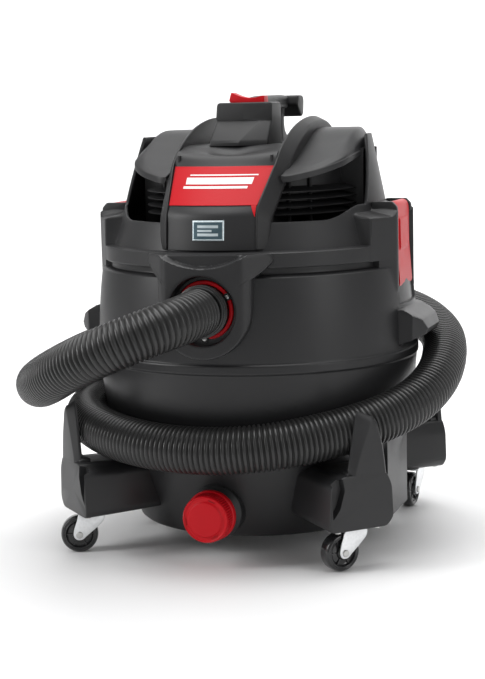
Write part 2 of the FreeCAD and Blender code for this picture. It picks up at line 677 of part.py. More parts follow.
def lid():
    """Lid: skirt, latch ears, cone up to the side covers and a pan that carries the motor."""
    outer = [(rim_r + lid_gap, skirt_bottom_z), (skirt_r - 1.5, skirt_bottom_z),
             (skirt_r, skirt_bottom_z + 1.5),
             (skirt_r, skirt_top_z - 2.0), (skirt_r - 2.0, skirt_top_z), (dome_base_r, skirt_top_z),
             (cone_r(sill_z), sill_z), (cone_r(sill_z) - head_wall, sill_z),
             (dome_base_r - head_wall - 2.0, skirt_top_z - 4.0),
             (dome_base_r - 8.0, pan_z + pan_thickness), (fan_inlet_r, pan_z + pan_thickness),
             (fan_inlet_r, pan_z), (rim_r + lid_gap, pan_z)]
    shell = revolved(outer)
    lower = revolved([(rim_r + lid_gap, skirt_bottom_z - 1.0), (skirt_r + 5.0, skirt_bottom_z - 1.0),
                      (skirt_r + 5.0, skirt_top_z + 0.2), (dome_base_r, skirt_top_z + 0.2),
                      (rim_r + lid_gap, pan_z)])
    shell = shell.cut(lower.common(side_gap()))
    core = rod(rim_r + lid_gap, V(0, 0, skirt_bottom_z - 5.0), V(0, 0, pan_z))
    above = sill_z + 53.0
    hollow = revolved([(0, pan_z + pan_thickness), (dome_base_r - 8.0, pan_z + pan_thickness),
                       (dome_base_r - head_wall - 2.0, skirt_top_z - 4.0),
                       (cone_r(sill_z) - head_wall, sill_z), (cone_r(above) - head_wall, above),
                       (0, above)])
    upper = revolved([(0, sill_z), (cone_r(sill_z) + 0.2, sill_z), (cone_r(above) + 0.2, above),
                      (0, above)])
    ears = [ear.cut(core).cut(hollow).cut(upper) for ear in both_sides(lid_ear())]
    pockets = both_sides(latch_pocket())
    shape = joined([shell.cut(pockets[0]).cut(pockets[1])] + ears)
    port = box(-bridge_half, bridge_half, rim_r - 50.0, blower_face_y, sill_z - 10.0, sill_z + 1.0)
    outlet = rod(blower_r + blower_wall + part_gap, V(0, rim_r - 50.0, blower_z),
                 V(0, blower_face_y, blower_z))
    cage_seat = rod(cage_r + part_gap, V(0, 0, pan_z - 1.0), V(0, 0, pan_z + 1.6))
    return shape.cut(port.common(outlet)).cut(cage_seat)


def lid_gasket():
    return tube(rim_r, rim_r - drum_wall, V(0, 0, rim_top_z), V(0, 0, pan_z))


# ---- side covers, bridge and rails --------------------------------------------------------
def hood_view(drop):
    """Side view of the covers' top, lowered by drop: tilted forward in front, level, and down behind."""
    top = hood_crest_z - drop
    far = skirt_r + 19.0
    return [(-far, sill_z), (-far, top - 100.0), (-130.0, top - 60.0), ((-60.0, top - 26.0), (20.0, top)),
            (70.0, top), ((130.0, top - 21.0), (170.0, top - 66.0)), (far, top - 116.0), (far, sill_z)]


def side_cover():
    """Right side cover: the head's cone with a tilted hood, vent windows in front and behind."""
    rail_x = bridge_half + rail_width + part_gap
    cone = revolved([(0, sill_z), (cone_r(sill_z), sill_z), (dome_top_r - 7.0, dome_top_z + 22.0),
                     (0, dome_top_z + 22.0)])
    inner = revolved([(0, sill_z - 1.0), (cone_r(sill_z) - head_wall, sill_z - 1.0),
                      (dome_top_r - head_wall - 7.0, dome_top_z + 22.0), (0, dome_top_z + 22.0)])
    half = side_prism(hood_view(0), rail_x, skirt_r + 49.0)
    under = side_prism(hood_view(head_wall + 1.0), rail_x - 1.0, skirt_r + 49.0)
    shape = cone.common(half).cut(inner.common(under))
    window = [(-67.0, sill_z + 3.0), (76.0, sill_z + 15.0), (100.0, hood_crest_z - 32.0),
              (-33.0, hood_crest_z - 69.0)]
    front = diagonal_prism(window, 95.0, skirt_r + 49.0)
    return shape.cut(front).cut(front.mirror(ORIGIN, V(0, 1, 0))).cut(ear_pocket())


def ear_pocket():
    """Room for the latch ear's cheeks and the latch's barrel beside the side cover."""
    return box(cone_r(ear_top_z) - 3.0 - part_gap, skirt_r + 29.0, -latch_half - cheek_width - 1.5,
               latch_half + cheek_width + 1.5, sill_z - 1.0, latch_pivot_z + 6.0)


def vent_grille():
    """Right vent grille: a curved wall behind the windows with level louvres."""
    rail_x = bridge_half + rail_width + 2.0
    low = pan_z + 50.0
    high = sill_z + 41.0
    wall_r = 129.0
    wall = revolved([(wall_r - 3.0, low), (wall_r, low), (wall_r, high), (wall_r - 3.0, high)])
    fins = [revolved([(wall_r, z), (wall_r + 21.0, z - 5.0), (wall_r + 21.0, z - 3.0), (wall_r, z + 2.5)])
            for z in (high - 28.0, high - 19.0, high - 10.0, high - 2.0)]
    keep = box(rail_x, skirt_r, -skirt_r, skirt_r, low - 10.0, high + 12.0)
    shape = joined([wall] + fins).common(keep)
    posts = [box(rail_x, rail_x + 3.0, s * 112.0 - 8.0, s * 112.0 + 8.0, low, high - 2.0) for s in (-1,
                                                                                                    1)]
    return joined([shape] + posts)


def bridge_front():
    """Distance of the front panel's foot ahead of the drum's axis."""
    return skirt_r - 7.0


def panel_top_z():
    return sill_z + 12.0


def label_top_y():
    return -skirt_r + 74.0


def label_top_z():
    return deck_z - 26.0


def label_foot_y():
    return -skirt_r + 21.0


def label_foot_z():
    return panel_top_z() + 11.0


def bridge_view(inset):
    """Side view of the centre bridge, from the front panel over the deck to the back."""
    i = inset
    front = -bridge_front() + i
    back = skirt_r + 3.0 - i
    return [(front, seam_z), (front + 4.0, panel_top_z()), (label_foot_y() + i, label_foot_z() - i * 0.4),
            (label_top_y() + i, label_top_z() - i * 0.4), (label_top_y() + 10.0 + i, deck_z - 12.0 - i),
            (-90.0, deck_z - i), (118.0, deck_z - i),
            ((back - 54.0 + i * 0.3, deck_z - 20.0 - i * 0.7), (back - 29.0, deck_z - 57.0)),
            (back - 8.0, sill_z - 7.0), (back, seam_z)]


def bridge():
    """Centre bridge: front panel, sloped label seat, deck and back, one moulded strip."""
    strip = side_prism(bridge_view(0), -bridge_half, bridge_half)
    strip = strip.cut(side_prism(bridge_view(head_wall), -bridge_half, bridge_half))
    seat = label_panel_solid()
    port = rod(blower_r + blower_wall, V(0, rim_r - 63.0, blower_z), V(0, rim_r + 57.0, blower_z))
    grommet = rod(9.0, V(-40.0, rim_r - 53.0, skirt_top_z + 20.0),
                  V(-40.0, rim_r + 57.0, skirt_top_z + 20.0))
    return strip.cut(seat).cut(port).cut(grommet).cut(badge_solid())


def rail_view():
    """Side view of a rail: from the front panel's foot over the top and down the back."""
    front = -bridge_front() - 4.0
    back = skirt_r + 5.0
    return [(front, seam_z), (front + 5.0, panel_top_z()), (label_foot_y() - 6.0, label_foot_z()),
            (label_top_y() - 5.0, label_top_z()), ((-55.0, deck_z + 19.0), (60.0, rail_top_z)),
            ((160.0, deck_z - 4.0), (back, seam_z)), (back - 18.0, seam_z + 22.0),
            ((142.0, deck_z - 20.0), (60.0, rail_top_z - 34.0)), (-60.0, deck_z - 11.0),
            (label_top_y() + 14.0, deck_z - 40.0), (label_foot_y() + 14.0, label_foot_z() - 8.0),
            (front + 18.0, panel_top_z() - 12.0), (-dome_base_r - 0.5, seam_z)]


def rail():
    """Right rail beside the bridge; its front faces lean outwards."""
    inner_x = bridge_half + part_gap
    body = side_prism(rail_view(), inner_x, bridge_half + rail_width)
    lean = plan_prism([(inner_x + 0.1, -skirt_r - 49.0), (120.0, -skirt_r - 49.0),
                       (120.0, -skirt_r + 36.0)], skirt_top_z, label_foot_z() + 5.0)
    return body.cut(lean).cut(revolved([(150.0, skirt_top_z), (dome_base_r + part_gap, skirt_top_z),
                                        (cone_r(sill_z) + part_gap, sill_z), (150.0, sill_z)]))


def label_corners(lift):
    """Side view of the label panel, standing lift proud of the bridge."""
    sunk = 1.4
    low_y, low_z = label_foot_y() + 0.6, label_foot_z() + 0.5
    high_y, high_z = label_top_y() - 0.6, label_top_z() - 0.5
    return [(low_y - lift, low_z + lift), (high_y - lift, high_z + lift),
            (high_y + sunk, high_z - sunk), (low_y + sunk, low_z - sunk)]


def label_panel_solid():
    return side_prism(label_corners(1.0), -bridge_half + 3.0, bridge_half - 3.0)


def badge_solid():
    """Small plate let into the front panel."""
    low, high = seam_z + 13.0, seam_z + 38.0
    slope = 4.0 / (panel_top_z() - seam_z)
    front = [slope * (z - seam_z) - bridge_front() for z in (low, high)]
    return side_prism([(front[0] - 0.6, low), (front[1] - 0.6, high), (front[1] + 1.2, high),
                       (front[0] + 1.2, low)], -21.0, 21.0)


def blower_port():
    """Round exhaust outlet at the back that takes the hose for blowing."""
    body = tube(blower_r + blower_wall - part_gap, blower_r, V(0, blower_face_y - 65.0, blower_z),
                V(0, blower_face_y, blower_z))
    lip = tube(blower_r + blower_wall + 2.0, blower_r, V(0, blower_face_y - 6.0, blower_z),
               V(0, blower_face_y, blower_z))
    return body.fuse(lip).removeSplitter()


def cord_grommet():
    z = skirt_top_z + 20.0
    seat = skirt_r + 1.6
    flange = tube(12.0, 4.0, V(-40.0, seat, z), V(-40.0, seat + 3.4, z))
    sleeve = tube(8.8, 4.0, V(-40.0, seat - 9.6, z), V(-40.0, seat, z))
    return joined([sleeve, flange])


# ---- switch tower and handle --------------------------------------------------------------
def switch_tower():
    """Block in front of the handle that carries the switch, with a sloped lower face."""
    side = [(tower_front_y, deck_z), (tower_front_y + 4.0, deck_z + 8.0), (-47.0, tower_top_z - 26.0),
            (-42.0, tower_top_z - 6.0),
            (-38.0, tower_top_z), (tower_back_y - 3.0, tower_top_z), (tower_back_y, tower_top_z - 4.0),
            (tower_back_y, deck_z)]
    block = side_prism(side, -tower_half, tower_half)
    flare = plan_prism([(-tower_half - 1, -39.0), (-tower_half + 5.0, -76.0), (tower_half - 5.0, -76.0),
                        (tower_half + 1, -39.0),
                        (tower_half + 1, 5.0), (-tower_half - 1, 5.0)], deck_z - 1.0, tower_top_z + 1.0)
    shape = block.common(flare)
    half = rocker_half + 3.0
    well = box(-half, half, rocker_y - rocker_width / 2 - 3.0, rocker_y + rocker_width / 2 + 3.0,
               deck_z + 6.0, tower_top_z + 1.0)
    return shape.cut(well)


def switch_body():
    """Switch case in the tower, with two posts for the rocker's trunnions."""
    half = rocker_half + 2.6
    y0, y1 = rocker_y - rocker_width / 2 - 2.7, rocker_y + rocker_width / 2 + 2.7
    base = box(-half, half, y0, y1, deck_z + 6.3, tower_top_z - 22.0)
    walls = [box(-8.0, 8.0, y, y + 2.0, tower_top_z - 22.0, tower_top_z - 1.0) for y in (y0, y1 - 2.0)]
    pin_hole = rod(rocker_pin_r + running_gap, V(0, y0 - 1.0, rocker_axis_z),
                   V(0, y1 + 1.0, rocker_axis_z))
    return joined([base] + walls).cut(pin_hole)


def rocker():
    """Rocker key, pressed down on the right, with a shallow valley and trunnions."""
    y0, y1 = rocker_y - rocker_width / 2, rocker_y + rocker_width / 2
    pivot = V(0, 0, rocker_axis_z)
    view = [(-rocker_half, rocker_axis_z + 7.0), (-rocker_half + 3.0, rocker_axis_z + rocker_peak),
            ((0.0, rocker_axis_z + rocker_valley), (rocker_half - 3.0, rocker_axis_z + rocker_peak)),
            (rocker_half, rocker_axis_z + 7.0), (8.0, rocker_axis_z - 4.0), (-8.0, rocker_axis_z - 4.0)]
    key = front_prism(view, y0, y1)
    pins = rod(rocker_pin_r, V(0, y0 - 2.4, pivot.z), V(0, y1 + 2.4, pivot.z))
    shape = joined([key, pins])
    shape.rotate(pivot, V(0, 1, 0), rocker_rest)
    return shape


def carry_handle():
    """Handle from the tower back to a cleat end, on a flared post."""
    top = handle_top_z
    side = [(tower_back_y, tower_top_z - 14.0), (tower_back_y, tower_top_z - 1.0), (14.0, top - 3.0),
            ((70.0, top), (handle_end_y - 6.0, top - 1.0)),
            (handle_end_y, top - 6.0), (handle_end_y - 5.0, top - 30.0),
            (handle_end_y - 14.0, top - 33.0), (handle_end_y - 22.0, top - 24.0),
            ((66.0, top - handle_depth - 1.0), (14.0, top - handle_depth - 3.0))]
    grip = side_prism(side, -handle_half, handle_half)
    cleat = [(handle_end_y - 34.0, top - 16.0), (handle_end_y - 30.0, top - 1.0),
             (handle_end_y - 6.0, top - 1.0), (handle_end_y, top - 6.0),
             (handle_end_y - 5.0, top - 30.0), (handle_end_y - 14.0, top - 33.0)]
    ends = side_prism(cleat, -34.0, 34.0)
    post = [(72.0, deck_z), (84.0, deck_z + 16.0), (86.0, top - 20.0), (118.0, top - 20.0),
            (112.0, deck_z + 14.0), (118.0, deck_z)]
    leg = side_prism(post, -15.0, 15.0)
    return joined([grip, ends, leg])


def handle_screws():
    return Part.makeCompound([rod(3.0, V(x, 96.0, deck_z - head_wall - 2.0),
                                  V(x, 96.0, deck_z - head_wall)) for x in (-8.0, 8.0)])


# ---- motor, fan, float and filter ---------------------------------------------------------
def motor_housing():
    """Open can over the motor, standing on the fan housing."""
    base = V(0, 0, motor_base_z)
    top = V(0, 0, motor_top_z)
    can = rod(motor_r + 4.0, base, top).cut(rod(motor_r + 1.0, base, top - UP * 3.0))
    flange = tube(fan_r + 6.0, motor_r + 1.0, base, base + UP * 3.0)
    return joined([can, flange])


def motor_stator():
    base = V(0, 0, motor_base_z + 12.0)
    ring = tube(motor_r, 30.0, base, base + UP * stator_height)
    feet = [box(s * 60.0 - 2.0, s * 60.0 + 2.0, -8.0, 8.0, motor_base_z + 12.0,
                motor_base_z + 12.0 + stator_height) for s in (-1, 1)]
    windings = tube(motor_r - 8.0, 32.0, base - UP * 6.0, base + UP * (stator_height + 6.0))
    feet = [f.common(rod(motor_r + 1.0, V(0, 0, motor_base_z), V(0, 0, motor_top_z))) for f in feet]
    return joined([ring, windings] + feet)


def motor_bearings():
    low = tube(16.0, shaft_r + running_gap, V(0, 0, motor_base_z - 8.0), V(0, 0, motor_base_z))
    low_web = tube(fan_r + 2.0, 16.0, V(0, 0, motor_base_z - 3.0), V(0, 0, motor_base_z))
    high = tube(16.0, shaft_r + running_gap, V(0, 0, motor_top_z - 12.0), V(0, 0, motor_top_z - 3.0))
    return Part.makeCompound([joined([low, low_web]), high])


def fan_housing():
    base = V(0, 0, pan_z + pan_thickness)
    wall = tube(fan_r + 6.0, fan_r + 3.0, base, V(0, 0, motor_base_z))
    floor = tube(fan_r + 3.0, 30.0, base, base + UP * 2.5)
    return joined([wall, floor])


def fan_wheel():
    low = tube(fan_r, 32.0, V(0, 0, fan_base_z), V(0, 0, fan_base_z + 1.6))
    high = tube(fan_r, shaft_r, V(0, 0, fan_base_z + fan_height), V(0, 0, fan_base_z + fan_height + 1.6))
    hub = tube(12.0, shaft_r, V(0, 0, fan_base_z + 8.0), V(0, 0, fan_base_z + fan_height + 1.0))
    blades = []
    for turn in range(8):
        blade = box(30.0, fan_r - 1.0, -0.8, 0.8, fan_base_z + 1.0, fan_base_z + fan_height + 1.0)
        blade.rotate(V(30.0, 0, 0), UP, 28.0)
        blade.rotate(ORIGIN, UP, turn * 45.0)
        blades.append(blade.common(rod(fan_r, V(0, 0, fan_base_z),
                                       V(0, 0, fan_base_z + fan_height + 2.0))))
    return joined([low, high, hub] + blades)


def armature():
    core = tube(28.5, shaft_r, V(0, 0, motor_base_z + 14.0), V(0, 0, motor_base_z + 10.0 + stator_height))
    commutator = tube(14.0, shaft_r, V(0, 0, motor_base_z + 10.0 + stator_height),
                      V(0, 0, motor_top_z - 14.0))
    return joined([core, commutator])


def motor_shaft():
    return rod(shaft_r, V(0, 0, fan_base_z + 8.0), V(0, 0, motor_top_z - 4.0))


def float_cage():
    """Barred cage under the pan that guides the float."""
    top = pan_z
    ring_top = tube(cage_r, 34.0, V(0, 0, top - 4.0), V(0, 0, top))
    flange = tube(filter_inner_r - 1.0, cage_r, V(0, 0, top - 4.0), V(0, 0, top - 0.1))
    base = tube(cage_r, 12.0, V(0, 0, cage_bottom_z), V(0, 0, cage_bottom_z + 3.0))
    bars = []
    for turn in range(10):
        bar = box(cage_r - 4.0, cage_r, -3.0, 3.0, cage_bottom_z, top)
        bar.rotate(ORIGIN, UP, turn * 36.0)
        bars.append(bar)
    return joined([ring_top, flange, base] + bars)


def float_ball():
    """Hollow float that lifts on water and shuts the fan inlet."""
    middle = V(0, 0, cage_bottom_z + 3.0 + float_r + float_lift)
    ball = Part.makeSphere(float_r, middle)
    skirt = tube(float_r, float_r - 6.0, V(0, 0, cage_bottom_z + 3.5), middle)
    return ball.fuse(skirt).cut(Part.makeSphere(float_r - 2.0, middle))


def filter_cartridge():
    """Pleated paper cartridge between two end rings."""
    low, high = filter_bottom_z + 8.0, pan_z - 6.0
    pleats = 36
    corners = []
    for step in range(pleats):
        for radius, share in ((filter_r - 3.0, 0.0), (filter_inner_r + 4.0, 0.5)):
            angle = 2 * math.pi * (step + share) / pleats
            corners.append((radius * math.cos(angle), radius * math.sin(angle)))
    return plan_prism(corners, low, high).cut(rod(filter_inner_r + 1.0, V(0, 0, low - 1.0),
                                                  V(0, 0, high + 1.0)))


def filter_end_rings():
    rings = [tube(filter_r, filter_inner_r, V(0, 0, filter_bottom_z + 4.0),
                  V(0, 0, filter_bottom_z + 8.0)),
             tube(filter_r, filter_inner_r, V(0, 0, pan_z - 6.0), V(0, 0, pan_z))]
    return Part.makeCompound(rings)


def filter_retainer():
    """Cap that holds the filter up, screwed to the cage's floor."""
    disc = rod(filter_r, V(0, 0, filter_bottom_z), V(0, 0, filter_bottom_z + 4.0))
    knob = box(-22.0, 22.0, -4.0, 4.0, filter_bottom_z - 14.0, filter_bottom_z)
    stud = rod(7.0, V(0, 0, filter_bottom_z + 4.0), V(0, 0, cage_bottom_z))
    cup = tube(14.0, 7.0, V(0, 0, cage_bottom_z - 3.0), V(0, 0, cage_bottom_z))
    return joined([disc, knob, stud, cup])


# ---- latches ------------------------------------------------------------------------------
def latch():
    """Right latch: a barrel on the ear's pin, a cap and a long plate that flares at its end."""
    pivot = V(latch_pivot_x, 0, latch_pivot_z)
    barrel = rod(latch_barrel_r, pivot - V(0, latch_half, 0), pivot + V(0, latch_half, 0))
    face = latch_seat + moving_gap
    out = face + latch_plate
    run_out = seat_slope * (flat_bend_z - latch_bottom_z)
    under = ear_top_z + moving_gap
    view = [(latch_pivot_x, latch_pivot_z + latch_barrel_r), (out - 3.0, latch_pivot_z + 1.0),
            (out, latch_pivot_z - 7.0),
            (out + 0.5, ear_split_z), (out + run_out + 1.5, latch_bottom_z + 3.0),
            (out + run_out, latch_bottom_z),
            (face + run_out, latch_bottom_z), (face, flat_bend_z), (face, under), (latch_pivot_x, under)]
    plate = front_prism(view, -latch_half, latch_half)
    shape = joined([barrel, plate])
    bore = rod(latch_pin_r + running_gap, pivot - V(0, latch_half + 1.0, 0),
               pivot + V(0, latch_half + 1.0, 0))
    return shape.cut(bore)


def latch_pins():
    reach = latch_half + moving_gap + cheek_width - 0.5
    pin = rod(latch_pin_r, V(latch_pivot_x, -reach, latch_pivot_z),
              V(latch_pivot_x, reach, latch_pivot_z))
    return Part.makeCompound(both_sides(pin))


# ---- assembly -----------------------------------------------------------------------------
def build():
    """Every node's shape, by name."""
    right_cover, right_grille, right_rail, right_latch = side_cover(), vent_grille(), rail(), latch()
    label = label_panel_solid()
    nodes = {
        "drum": drum(),
        "inlet_ring": inlet_ring(),
        "inlet_screws": inlet_screws(),
        "inlet_deflector": inlet_deflector(),
        "drain_gasket": drain_gasket(),
        "drain_cap": drain_cap(),
        "foot_screws": foot_screws(),
        "hose_tube": hose_tube(),
        "hose_inlet_cuff": hose_inlet_cuff(),
        "hose_end_cuff": hose_end_cuff(),
        "lid": lid(),
        "lid_gasket": lid_gasket(),
        "bridge": bridge(),
        "label_panel": label,
        "badge_plate": badge_solid(),
        "side_cover_right": right_cover,
        "side_cover_left": mirrored_x(right_cover),
        "vent_grille_right": right_grille,
        "vent_grille_left": mirrored_x(right_grille),
        "rail_right": right_rail,
        "rail_left": mirrored_x(right_rail),
        "blower_port": blower_port(),
        "cord_grommet": cord_grommet(),
        "switch_tower": switch_tower(),
        "switch_body": switch_body(),
        "switch_rocker": rocker(),
        "carry_handle": carry_handle(),
        "handle_screws": handle_screws(),
        "motor_housing": motor_housing(),
        "motor_stator": motor_stator(),
        "motor_bearings": motor_bearings(),
        "motor_armature": armature(),
        "motor_shaft": motor_shaft(),
        "fan_housing": fan_housing(),
        "fan_wheel": fan_wheel(),
        "float_cage": float_cage(),
        "float_ball": float_ball(),
        "filter_cartridge": filter_cartridge(),
        "filter_end_rings": filter_end_rings(),
        "filter_retainer": filter_retainer(),
        "latch_right": right_latch,
        "latch_left": mirrored_x(right_latch),
        "latch_pins": latch_pins(),
    }
    front_right_foot = foot()
    fork = caster_fork()
    stem = caster_stem()
    axle = caster_axle()
    wheel = caster_wheel()
    for side in CORNERS:
        nodes["foot_" + side] = cornered(front_right_foot, side)
        nodes["caster_fork_" + side] = at_caster(fork.fuse(stem).removeSplitter(), side)
        nodes["caster_axle_" + side] = at_caster(axle, side)
        nodes["caster_wheel_" + side] = at_caster(wheel, side)
    return nodes


os.makedirs("parts", exist_ok=True)
for name, shape in build().items():
    shape.exportStep("parts/" + name + ".step")
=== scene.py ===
import math

import bpy
import bmesh
import numpy as np
from mathutils import Matrix, Vector


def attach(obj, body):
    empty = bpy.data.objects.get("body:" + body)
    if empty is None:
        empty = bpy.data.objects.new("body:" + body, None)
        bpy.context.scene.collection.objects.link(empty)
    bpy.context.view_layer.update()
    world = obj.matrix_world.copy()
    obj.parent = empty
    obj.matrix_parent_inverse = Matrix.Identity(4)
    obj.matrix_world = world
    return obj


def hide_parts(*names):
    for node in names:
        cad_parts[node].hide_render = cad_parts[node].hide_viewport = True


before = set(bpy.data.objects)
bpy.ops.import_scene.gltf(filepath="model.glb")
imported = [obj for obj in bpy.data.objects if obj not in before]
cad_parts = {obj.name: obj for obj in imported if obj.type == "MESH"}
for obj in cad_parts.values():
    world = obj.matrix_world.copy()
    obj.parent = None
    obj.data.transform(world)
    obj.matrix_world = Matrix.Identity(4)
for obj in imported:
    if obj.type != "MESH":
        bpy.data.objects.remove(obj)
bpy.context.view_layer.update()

bl_info = {
    "name": "Wheeled drum vacuum",
    "version": (1, 0, 0),
    "blender": (4, 5, 0),
    "location": "3D View > Sidebar > Vacuum",
    "description": "Builds the looks of a wheeled drum vacuum around its CAD frame",
    "category": "Object",
}

MM = 0.001
INLET_Z = 339                # centre of the hose inlet, in millimetres like every size below
INLET_CENTRE = (0, 0, INLET_Z)
DRAIN_Z = 68                 # centre of the drain spout
DRAIN_CENTRE = (0, 0, DRAIN_Z)
WHEEL_R = 25.4               # radius of a caster's wheel, and height of its axle
TRAIL = 21                   # axle behind the caster's swivel
CORNERS = {"front_left": (-1, -1), "front_right": (1, -1), "rear_left": (-1, 1), "rear_right": (1, 1)}

# Hose centreline, in metres: the control points of the CAD route.
HOSE_ROUTE = [
    (0, -0.243, 0.339), (-0.006, -0.284, 0.335), (-0.036, -0.322, 0.324), (-0.088, -0.341, 0.304),
    (-0.146, -0.325, 0.278), (-0.199, -0.281, 0.250), (-0.243, -0.217, 0.233), (-0.271, -0.142, 0.229),
    (-0.281, -0.060, 0.233), (-0.272, 0.025, 0.243), (-0.242, 0.108, 0.256), (-0.183, 0.191, 0.271),
    (-0.112, 0.242, 0.285), (-0.030, 0.263, 0.295), (0.052, 0.261, 0.299), (0.130, 0.230, 0.298),
    (0.195, 0.178, 0.288), (0.242, 0.112, 0.270), (0.261, 0.041, 0.251), (0.264, -0.027, 0.227),
    (0.247, -0.091, 0.205), (0.209, -0.144, 0.188), (0.157, -0.190, 0.176), (0.096, -0.229, 0.166),
    (0.025, -0.247, 0.160), (-0.048, -0.243, 0.160), (-0.117, -0.217, 0.163), (-0.176, -0.173, 0.168),
    (-0.219, -0.113, 0.172), (-0.243, -0.043, 0.175), (-0.246, 0.030, 0.176),
]


# ---- sizes and colours ----------------------------------------------------------------------
class VacuumSizes(bpy.types.PropertyGroup):
    """Sizes of the surface detail, which the CAD frame doesn't fix"""

    rib_pitch: bpy.props.FloatProperty(name="Rib pitch", description="Distance from one hose rib to the next",
                                       default=0.0064, unit="LENGTH", subtype="DISTANCE")
    rib_depth: bpy.props.FloatProperty(name="Rib depth", description="Depth of the grooves between hose ribs",
                                       default=0.0030, unit="LENGTH", subtype="DISTANCE")
    grain: bpy.props.FloatProperty(name="Moulding grain",
                                   description="Size of the grain on the moulded plastic",
                                   default=0.0011, unit="LENGTH", subtype="DISTANCE")
    edge: bpy.props.FloatProperty(name="Edge rounding", description="Rounding of the moulded edges",
                                  default=0.0020, unit="LENGTH", subtype="DISTANCE")


class VacuumColours(bpy.types.PropertyGroup):
    """Colours of the finishes"""

    drum: bpy.props.FloatVectorProperty(name="Drum", description="Colour of the drum", size=3, min=0, max=1,
                                        default=(0.016, 0.016, 0.017), subtype="COLOR")
    head: bpy.props.FloatVectorProperty(name="Head", description="Colour of the head's covers", size=3, min=0,
                                        max=1,
                                        default=(0.017, 0.017, 0.018), subtype="COLOR")
    red: bpy.props.FloatVectorProperty(name="Red parts", description="Colour of latches, cap, ring and label",
                                       size=3, min=0, max=1, default=(0.50, 0.004, 0.010), subtype="COLOR")
    hose: bpy.props.FloatVectorProperty(name="Hose", description="Colour of the hose", size=3, min=0, max=1,
                                        default=(0.014, 0.014, 0.014), subtype="COLOR")
    zinc: bpy.props.FloatVectorProperty(name="Plated steel", description="Colour of the caster forks", size=3,
                                        min=0, max=1, default=(0.82, 0.83, 0.84), subtype="COLOR")


# ---- materials ------------------------------------------------------------------------------
class Amount:
    """A number that varies over a surface. Arithmetic on it adds Math nodes to its finish."""

    def __init__(self, finish, socket):
        self.finish = finish
        self.socket = socket

    def _math(self, operation, first, second):
        made = self.finish.node("ShaderNodeMath", {"operation": operation}, {0: first, 1: second})
        return Amount(self.finish, made.outputs[0])

    def __add__(self, other):
        return self._math("ADD", self, other)

    def __radd__(self, other):
        return self._math("ADD", other, self)

    def __sub__(self, other):
        return self._math("SUBTRACT", self, other)

    def __rsub__(self, other):
        return self._math("SUBTRACT", other, self)

    def __mul__(self, other):
        return self._math("MULTIPLY", self, other)

    def __rmul__(self, other):
        return self._math("MULTIPLY", other, self)


class Finish:
    """A node material on a Principled shader."""

    def __init__(self, name, **constants):
        self.material = bpy.data.materials.new(name)
        self.material.use_nodes = True
        self.tree = self.material.node_tree
        self.shader = self.tree.nodes["Principled BSDF"]
        for socket, value in constants.items():
            self.shader.inputs[socket.replace("_", " ")].default_value = value
        self.place = self.node("ShaderNodeTexCoord", {}, {}).outputs["Object"]

    def node(self, kind, settings, values):
        """Adds a node: its settings first, then the values or links of its sockets."""
        made = self.tree.nodes.new(kind)
        for setting, value in settings.items():
            if setting == "stops":
                for spot, (position, colour) in enumerate(value):
                    ramp = made.color_ramp.elements
                    stop = ramp[spot] if spot < 2 else ramp.new(position)
                    stop.position = position
                    stop.color = colour
            else:
                setattr(made, setting, value)
        for socket, value in values.items():
            source = value.socket if isinstance(value, Amount) else value
            if isinstance(source, bpy.types.NodeSocket):
                self.tree.links.new(source, made.inputs[socket])
            else:
                made.inputs[socket].default_value = source
        return made

    def feed(self, socket, source):
        self.tree.links.new(source.socket if isinstance(source, Amount) else source,
                            self.shader.inputs[socket])

    def noise(self, scale, detail=2.0, stretch=(1, 1, 1)):
        """Soft noise about one half, with scale features to the metre."""
        spread = self.node("ShaderNodeMapping", {}, {"Vector": self.place, "Scale": stretch})
        made = self.node("ShaderNodeTexNoise", {},
                         {"Vector": spread.outputs[0], "Scale": scale, "Detail": detail})
        return Amount(self, made.outputs["Fac"])

    def speckle(self, scale):
        """Distance to the nearest point of a random scatter with scale points to the metre."""
        made = self.node("ShaderNodeTexVoronoi", {}, {"Vector": self.place, "Scale": scale})
        return Amount(self, made.outputs["Distance"])

    def tint(self, share, first, second):
        """Colour from first to second by share."""
        made = self.node("ShaderNodeMix", {"data_type": "RGBA"}, {0: share, 6: first, 7: second})
        return made.outputs[2]

    def bump(self, height, distance, strength):
        made = self.node("ShaderNodeBump", {}, {"Height": height, "Distance": distance, "Strength": strength})
        self.feed("Normal", made.outputs[0])


def opaque(colour):
    return (*colour, 1.0)


def shade(colour, share):
    return opaque([min(1.0, c * share) for c in colour])


def moulded(name, colour, roughness, grain, grain_strength, mottle=0.12, coat=0.0, gloss=0.4):
    """Moulded plastic: fine spark-eroded grain, slight flow mottling and rubbed, shinier patches."""
    finish = Finish(name, Coat_Roughness=0.25, IOR=1.5, Specular_IOR_Level=gloss)
    flow = finish.noise(9.0, 3.0)
    cloud = finish.noise(38.0, 4.0)
    rubbed = finish.noise(5.0, 6.0, (1, 1, 0.25))
    finish.feed("Base Color", finish.tint(0.55 * flow + 0.45 * cloud, shade(colour, 1 - mottle),
                                          shade(colour, 1 + mottle)))
    finish.feed("Roughness", roughness - 0.10 + 0.12 * rubbed + 0.08 * cloud)
    if coat:
        finish.shader.inputs["Coat Weight"].default_value = coat
    pebbles = finish.speckle(1.0 / grain)
    fine = finish.noise(0.9 / grain, 2.0)
    finish.bump(0.6 * pebbles + 0.4 * fine, 0.0002, grain_strength)
    return finish.material


def plated(name, colour, roughness, streak):
    """Bright plated or rolled metal with faint rolling streaks and spangle."""
    finish = Finish(name, Metallic=1.0)
    streaks = finish.noise(140.0, 3.0, streak)
    spangle = finish.speckle(260.0)
    finish.feed("Base Color", finish.tint(0.5 * streaks + 0.5 * spangle, shade(colour, 0.84),
                                          shade(colour, 1.08)))
    finish.feed("Roughness", roughness + 0.16 * streaks)
    finish.bump(streaks + 0.4 * spangle, 0.0001, 0.25)
    return finish.material


